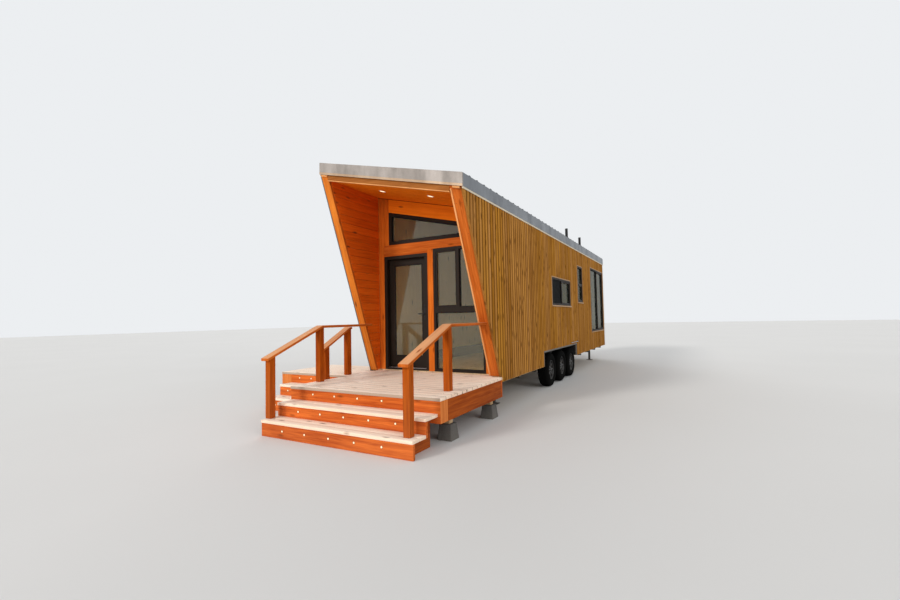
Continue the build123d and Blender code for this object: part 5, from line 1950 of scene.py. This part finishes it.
@dataclass
class Wheels:
    """Tyres with tread and rims with spokes, one modelled and copied to each hub.

    The sections are points of (depth under the wheel's outer face or the spokes' face, radius).
    """

    shop: Workshop
    hubs: Triple = (2.86, 3.75, 4.64)
    outer: float = 1.27
    height: float = 0.36
    width: float = 0.235
    face_depth: float = 0.040
    spokes: int = 8
    nuts: int = 5
    nut_circle: float = 0.052
    nut_depth: float = 0.002
    nut_turn: float = 0.25
    tyre_half: Section = (
        (0.030, 0.206), (0.012, 0.214), (0.004, 0.232), (0.001, 0.255), (0.0, 0.268), (0.003, 0.272),
        (0.002, 0.296), (0.008, 0.320), (0.018, 0.338), (0.034, 0.351), (0.052, 0.3565),
        (0.066, 0.3585), (0.070, 0.350), (0.077, 0.350), (0.081, 0.3592), (0.112, 0.360), (0.115, 0.351),
    )
    barrel: Section = (
        (0.022, 0.205), (0.020, 0.201), (0.030, 0.194), (0.045, 0.184), (0.075, 0.178), (0.19, 0.178),
        (0.205, 0.193), (0.213, 0.204), (0.208, 0.2055), (0.19, 0.186), (0.075, 0.186), (0.05, 0.196),
        (0.034, 0.206),
    )
    hub: Section = (
        (0.055, 0.02), (0.055, 0.075), (0.02, 0.072), (0.006, 0.062), (0.0, 0.045), (-0.002, 0.036),
        (-0.010, 0.032), (-0.013, 0.024), (-0.014, 0.0005), (0.02, 0.0005),
    )
    cap: Section = (
        (-0.0135, 0.0005), (-0.0155, 0.014), (-0.0148, 0.019), (-0.012, 0.0205), (-0.010, 0.0005),
    )
    spoke_depth: Span = (0.034, 0.004)
    spoke_y: Span = (-0.021, 0.021)
    spoke_z: Span = (0.050, 0.183)
    spoke_top: Triple = (0.9, 0.62, 1.0)
    spoke_pivot: float = 0.006
    strip_depth: Span = (0.006, 0.0025)
    strip_y: Span = (-0.0045, 0.0045)
    strip_z: Span = (0.085, 0.170)
    strip_lean: float = 0.0045

    def build(self) -> None:
        """Copy the wheel's pieces to all six hubs."""
        half = inward(self.outer, self.tyre_half)
        inner = inward(self.outer - self.width, [(-depth, radius) for depth, radius in self.tyre_half])
        tyre = spun("tyre", half + inner[::-1], 96)
        rim, bright = self.rim()
        for side in Side:
            turn = Matrix.Identity(4) if side is Side.RIGHT else Matrix.Rotation(math.pi, 4, "Z")
            for number, y in enumerate(self.hubs, 1):
                key = f"{side.word}_{number}"
                move = Matrix.Translation((0, y, self.height)) @ turn
                for template, name, finish, slot, replaced in (
                    (tyre, f"tyre_{key}_tread", "tyre_rubber", "tyre_rubber", [f"tyre_{key}"]),
                    (rim, f"rim_{key}_spokes", "rim_black", "rim_paint", [f"rim_{key}"]),
                    (bright, f"rim_{key}_accents", "rim_bright", "rim_paint", []),
                ):
                    piece = copy_of(template, move)
                    piece.name = name
                    self.shop.settle(piece, finish, slot, f"wheel_{key}", replaced)
        for obj in (tyre, rim, bright):
            remove(obj)

    def rim(self) -> tuple[Object, Object]:
        """Model the rim: barrel, spokes, hub and nuts, and the bright strips on the spokes.

        Returns:
            The dark rim and its bright pieces, at the origin.
        """
        face = self.outer - self.face_depth
        barrel = spun("barrel", inward(self.outer, self.barrel), 72)
        hub = spun("hub", inward(face, self.hub), 48)
        cap = spun("cap", inward(face, self.cap), 32)
        block = box((face - self.spoke_depth[0], face - self.spoke_depth[1]), self.spoke_y, self.spoke_z)
        pivot = (face - self.spoke_pivot, 0.0, self.spoke_z[1])
        spoke = shape_top(start_block("spoke", block), self.spoke_top, pivot, (self.spoke_pivot, 0.0, 0.0))
        bevel_all(spoke, width=0.004, segments=2)
        block = box((face - self.strip_depth[0], face - self.strip_depth[1]), self.strip_y, self.strip_z)
        strip = shape_top(start_block("strip", block), (1.0, 1.0, 1.0), pivot, (self.strip_lean, 0.0, 0.0))
        bevel_all(strip, width=0.001)
        seat = (face - self.nut_depth, 0, self.nut_circle)
        nut = start_tube("nut", seat, radius=0.0095, depth=0.020, sides=6, axis="X")
        bevel_all(nut, width=0.0015)
        turns = [self.turned(number / self.spokes) for number in range(self.spokes)]
        nut_turns = [self.turned((number + self.nut_turn) / self.nuts) for number in range(self.nuts)]
        bright = [copies("strips", strip, turns), copies("nuts", nut, nut_turns), cap]
        return join("rim", [barrel, hub, copies("spokes", spoke, turns)]), join("bright_parts", bright)

    def turned(self, share: float) -> Matrix:
        """Return the turn about the axle by a share of a full turn."""
        return Matrix.Rotation(math.tau * share, 4, "X")


@dataclass
class SideWindows:
    """Casings, lips, sashes, seals and a screen for the windows in the long walls."""

    shop: Workshop
    wide: float = 1.0
    lip_face: float = 0.0135
    sash_face: float = 0.001
    seal_face: float = -0.0175
    screen_face: float = -0.010
    screen_thickness: float = 0.0015
    casing: float = 0.022
    casing_face: float = 0.0115
    sill_face: float = 0.030
    sill_height: float = 0.030
    sill_overhang: float = 0.012

    def build(self) -> None:
        """Build every side window."""
        for side in Side:
            for number, (y, z) in enumerate(SIZES.windows(side), 1):
                self.window(f"{side.word}_window_{number}", side, y, z)
                self.casings(f"{side.word}_window_{number}", side, y, z)

    def face(self, side: Side, out: float) -> float:
        """Return the x of a plane that stands out from a long wall."""
        return side.value * (SIZES.half_width + out)

    def window(self, key: str, side: Side, y: Span, z: Span) -> None:
        """Build one window's pieces: two panes side by side where it is wide, else one over the other.

        Args:
            key: The start of the pieces' names.
            side: The side of the house.
            y: Its span along Y.
            z: Its span along Z.
        """
        bar = SIZES.window_bar
        inner_y, inner_z = ((span[0] + bar, span[1] - bar) for span in (y, z))
        wide = y[1] - y[0] > self.wide
        middle = sum(y if wide else z) / 2
        ends = (middle - bar / 2, middle + bar / 2)
        if wide:
            panes = [((inner_y[0], ends[0]), inner_z), ((ends[1], inner_y[1]), inner_z)]
        else:
            panes = [(inner_y, (inner_z[0], ends[0])), (inner_y, (ends[1], inner_z[1]))]
        opening = panes[1] if wide else panes[0]
        lip = ring("lip", rectangle_yz(y, z, self.face(side, self.lip_face), side), bar=0.034, depth=0.014)
        outline = rectangle_yz(*opening, self.face(side, self.sash_face), side)
        sash = ring("sash", outline, bar=0.028, depth=0.016)
        self.shop.settle(join(f"{key}_lip_and_sash", [lip, sash]), "bronze", "bronze_frame")
        outlines = [rectangle_yz(*pane, self.face(side, self.seal_face), side) for pane in panes]
        seals = [ring("seal", outline, bar=0.009, depth=0.008, edge=0.001) for outline in outlines]
        self.shop.settle(join(f"{key}_seals", seals), "gasket", "bronze_frame")
        if wide and z[1] - z[0] < self.wide:
            x = (self.face(side, self.screen_face), self.face(side, self.screen_face - self.screen_thickness))
            screen = [box(x, *panes[0])]
            self.shop.boards(f"{key}_screen", screen, "insect_screen", "bronze_frame", edge=0.0003)

    def casings(self, key: str, side: Side, y: Span, z: Span) -> None:
        """Lay the light boards round a window, with a sill that stands out.

        Args:
            key: The start of the piece's name.
            side: The side of the house.
            y: The window's span along Y.
            z: Its span along Z.
        """
        x = (self.face(side, 0.0), self.face(side, self.casing_face))
        low, high = y[0] - self.casing, y[1] + self.casing
        sill = (low - self.sill_overhang, high + self.sill_overhang)
        boards = [
            box(x, (low, y[0]), z),
            box(x, (y[1], high), z),
            box(x, (low, high), (z[1], z[1] + self.casing)),
            box((x[0], self.face(side, self.sill_face)), sill, (z[0] - self.sill_height, z[0])),
        ]
        self.shop.boards(f"{key}_casing", boards, "window_trim", "trim_boards", edge=0.0025, segments=2)


@dataclass
class WallTrims:
    """Metal over the wheel wells, rear corner strips, and a small bar on the right wall."""

    shop: Workshop
    fold: float = 0.012
    fold_in: float = 0.02
    fold_out: float = 0.006
    lap: float = 0.002
    fold_z: Span = (-0.004, 0.026)
    lining: float = 0.003
    lining_gap: float = 0.0005
    lining_head: float = 0.0045
    lining_out: float = 0.021
    corner: float = 0.045
    corner_out: float = 0.004
    corner_foot: float = 0.492
    corner_ends: Span = (0.014, 0.013)
    bar_x: float = 1.330
    bar_y: Span = (4.47, 5.13)
    bar_z: float = 0.845
    foot_x: float = 1.314
    foot_inset: float = 0.05
    knob_x: float = 1.318
    knob_inset: float = 0.004
    knob: Section = (
        (0.0, 0.0005), (0.0, 0.010), (0.006, 0.012), (0.012, 0.020), (0.024, 0.024), (0.036, 0.020),
        (0.042, 0.010), (0.043, 0.0005),
    )

    def build(self) -> None:
        """Build every trim."""
        edging, linings, corners = [], [], []
        for side in Side:
            edging += self.well_edging(side.value)
            linings += self.well_lining(side.value)
            corners += self.rear_corner(side.value)
        self.shop.boards("wheel_well_edging", edging, "well_sheet", "edge_metal", edge=0.0015)
        self.shop.boards("wheel_well_linings", linings, "black_plastic", "black_plastic", edge=0.0006)
        self.shop.boards("rear_corner_strips", corners, "white_trim", "edge_metal", edge=0.002)
        self.fitting()

    def well_edging(self, way: int) -> list[Box]:
        """Return the metal folded round a wheel well: over it, and at both its ends.

        Args:
            way: The sign of the side's x.

        Returns:
            Its three blocks.
        """
        (low, high), top = SIZES.well_y, SIZES.well_top
        x = (way * (SIZES.half_width - self.fold_in), way * (SIZES.siding_face + self.fold_out))
        z = (SIZES.siding_foot, top - self.lap)
        return [
            box(x, (low - self.fold, high + self.fold), tuple(top + off for off in self.fold_z)),
            box(x, (low - self.fold, low + self.lap), z),
            box(x, (high - self.lap, high + self.fold), z),
        ]

    def well_lining(self, way: int) -> list[Box]:
        """Return the dark linings of a wheel well's ends and top.

        Args:
            way: The sign of the side's x.

        Returns:
            Its three blocks.
        """
        x = (way * (SIZES.half_room + self.lap), way * (SIZES.half_width - self.lining_out))
        low, high = SIZES.well_y[0] + self.lining_gap, SIZES.well_y[1] - self.lining_gap
        top, thick = SIZES.well_top - self.lining_gap, self.lining
        z = (SIZES.siding_foot, SIZES.well_top - self.lining_head)
        ends = [box(x, y, z) for y in ((low, low + thick), (high - thick, high))]
        return [*ends, box(x, (low, high), (top - thick, top))]

    def rear_corner(self, way: int) -> list[Box]:
        """Return the two strips of a rear corner.

        Args:
            way: The sign of the side's x.

        Returns:
            Its two blocks.
        """
        out, rear = way * (SIZES.siding_face + self.corner_out), SIZES.length
        z = (self.corner_foot, SIZES.roof_under(out) - self.lap)
        behind = box((way * (SIZES.half_width - self.corner), out), (rear, rear + self.corner_ends[0]), z)
        beside = box((way * SIZES.half_width, out), (rear - self.corner, rear + self.corner_ends[1]), z)
        return [behind, beside]

    def fitting(self) -> None:
        """Model the small bar with a dark knob over the right wheels."""
        (low, high), z = self.bar_y, self.bar_z
        middle = (self.bar_x, (low + high) / 2, z)
        bar = bevel_all(start_tube("bar", middle, 0.009, depth=high - low, sides=20, axis="Y"), width=0.002)
        foot = start_tube("foot", (0, 0, 0), radius=0.012, depth=0.026, sides=16, axis="X")
        bevel_all(foot, width=0.002)
        ends = (low + self.foot_inset, high - self.foot_inset)
        feet = copies("feet", foot, [Matrix.Translation((self.foot_x, y, z)) for y in ends])
        self.shop.settle(join("wall_bar", [bar, feet]), "zinc", "black_metal")
        knob = spun("wall_bar_knob", self.knob, 28)
        place = Matrix.Translation((self.knob_x, high - self.knob_inset, z))
        knob.data.transform(place @ Matrix.Rotation(QUARTER, 4, "Z"))
        self.shop.settle(knob, "black_plastic", "black_metal")


@dataclass(frozen=True)
class Sun:
    """A soft, even light from far away: where it comes from, its angular size and its strength."""

    name: str
    origin: Triple
    degrees: float
    strength: float
    colour: Colour
    distance: float = 20.0

    def build(self) -> None:
        """Add the light."""
        data = bpy.data.lights.new(self.name, "SUN")
        data.angle, data.energy, data.color = math.radians(self.degrees), self.strength, self.colour
        obj = bpy.data.objects.new(self.name, data)
        turn = (-Vector(self.origin)).to_track_quat("-Z", "Y").to_matrix().to_4x4()
        obj.matrix_world = Matrix.Translation(Vector(self.origin) * self.distance) @ turn
        bpy.context.scene.collection.objects.link(obj)


@dataclass
class Stage:
    """Camera, floor, light and background."""

    shop: Workshop
    camera_at: Triple = (3.9297, -6.4835, 1.5105)
    yaw: float = -0.50444
    pitch: float = 0.04223
    roll: float = -0.01945
    lens: float = 17.36
    sensor: float = 36.0
    view_reach: float = 200.0
    floor_size: float = 160.0
    floor_dark: Colour = (0.66, 0.655, 0.64)
    floor_light: Colour = (0.70, 0.695, 0.68)
    floor_roughness: float = 0.95
    daylight: Colour = (0.95, 0.97, 1.0)
    daylight_strength: float = 0.6
    background: Colour = (0.84, 0.86, 0.88)
    suns: tuple[Sun, ...] = (
        Sun("key_light", (-0.33, -0.83, 0.45), 12.0, 1.5, (1.0, 0.97, 0.93)),
        Sun("porch_light", (0.05, -0.99, 0.06), 30.0, 1.0, (1.0, 0.97, 0.92)),
        Sun("fill_light", (0.85, -0.30, 0.40), 40.0, 0.75, (1.0, 0.99, 0.97)),
        Sun("rear_light", (-0.50, 0.75, 0.45), 40.0, 0.75, (0.97, 0.98, 1.0)),
    )

    def build(self) -> None:
        """Build all of them."""
        bpy.context.scene.view_settings.view_transform = "Standard"
        self.camera()
        self.floor()
        self.world()
        for sun in self.suns:
            sun.build()

    def camera(self) -> None:
        """Place the camera where the photo was taken."""
        forward = Vector((math.sin(self.yaw), math.cos(self.yaw), 0.0))
        right = Vector((math.cos(self.yaw), -math.sin(self.yaw), 0.0))
        up = Vector((0.0, 0.0, 1.0))
        ahead = forward * math.cos(self.pitch) + up * math.sin(self.pitch)
        over = up * math.cos(self.pitch) - forward * math.sin(self.pitch)
        across = right * math.cos(self.roll) + over * math.sin(self.roll)
        over = over * math.cos(self.roll) - right * math.sin(self.roll)
        data = bpy.data.cameras.new("photo_camera")
        data.lens, data.sensor_width, data.clip_end = self.lens, self.sensor, self.view_reach
        obj = bpy.data.objects.new("photo_camera", data)
        turn = Matrix((across, over, -ahead)).transposed().to_4x4()
        obj.matrix_world = self.shop.shift @ Matrix.Translation(self.camera_at) @ turn
        bpy.context.scene.collection.objects.link(obj)
        bpy.context.scene.camera = obj

    def floor(self) -> None:
        """Lay a plain pale floor."""
        clear_selection()
        bpy.ops.mesh.primitive_plane_add(size=self.floor_size)
        plane = named("stage_floor")
        tree, material, shader, where = start_material("stage_floor")
        colour = tree.blend(tree.noise(where, scale=0.3), self.floor_dark, self.floor_light)
        tree.feed(shader, {"Base Color": colour, "Roughness": self.floor_roughness})
        plane.data.materials.append(material)

    def world(self) -> None:
        """Give soft daylight, and a pale background to the camera."""
        world = bpy.data.worlds.new("soft_world")
        world.use_nodes = True
        bpy.context.scene.world = world
        tree = Tree(world.node_tree)
        nodes = world.node_tree.nodes
        light = tree.feed(nodes["Background"], {0: (*self.daylight, 1.0), 1: self.daylight_strength})
        seen = tree.out("Background", {0: (*self.background, 1.0), 1: 1.0})
        path = tree.put("LightPath").outputs
        ray = tree.math("MAXIMUM", path["Is Camera Ray"], path["Is Glossy Ray"])
        ray = tree.math("MAXIMUM", ray, path["Is Transmission Ray"])
        tree.feed(nodes["World Output"], {0: tree.out("MixShader", {0: ray, 1: light.outputs[0], 2: seen})})


@dataclass(frozen=True)
class Dressing:
    """The finish of CAD nodes that show as they are."""

    finish: str
    nodes: tuple[str, ...]
    edge: float = 0.0


DRESSINGS = (
    # The inner walls' finish is pale as painted light in the dim rooms behind the glass.
    Dressing("inner_boards", ("left_wall", "right_wall", "rear_wall", "front_wall_left", "front_wall_post")),
    Dressing("inner_boards", ("front_wall_right", "front_wall_top", "left_porch_wall", "right_porch_wall")),
    Dressing("porch_over", ("porch_ceiling",)),
    Dressing("orange_lean", ("porch_trims",)),
    Dressing("beam_brown", ("porch_beam",)),
    Dressing("floor_wood", ("floor",)),
    Dressing("roof_sheet", ("roof",)),
    Dressing("edge_sheet", ("end_fascias",), 0.003),
    Dressing("side_sheet", ("side_fascias",)),
    Dressing("black_plastic", ("roof_vents", "wheel_housings", "door_hinge_pins")),
    Dressing("bronze", ("door_frame", "door_leaf", "front_window_frames", "side_window_frames"), 0.002),
    Dressing("clear_glass", ("door_glass", "front_window_glass")),
    Dressing("side_glass", ("side_window_glass",)),
    Dressing("black_plastic", ("door_fittings",), 0.003),
    Dressing("post_z", ("railing_posts",), 0.006),
    Dressing("raw_board", ("pier_posts",), 0.002),
    Dressing("concrete", ("pier_blocks",), 0.010),
    Dressing("chassis", ("trailer_frame", "tongue", "stabiliser_legs"), 0.003),
    Dressing("chassis", ("axles", "coupler")),
    Dressing("zinc", ("tongue_jack",)),
)
SUB_ASSEMBLIES = (
    Cladding, Roof, PorchTrims, FrontWindows, DoorDetail, SideWindows, WallTrims, Deck, DeckFrames, Rails,
    Screws, Lamps, Wheels, Stage,
)


def main() -> None:
    """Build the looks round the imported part, piece by piece."""
    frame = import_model()
    shop = Workshop(Palette(Effects()))
    for dressing in DRESSINGS:
        shop.dress(frame["nodes"], dressing.finish, dressing.nodes, dressing.edge)
    for sub_assembly in SUB_ASSEMBLIES:
        sub_assembly(shop).build()


if __name__ == "__main__":
    logging.basicConfig(level=logging.INFO, format="%(name)s: %(message)s")
    main()
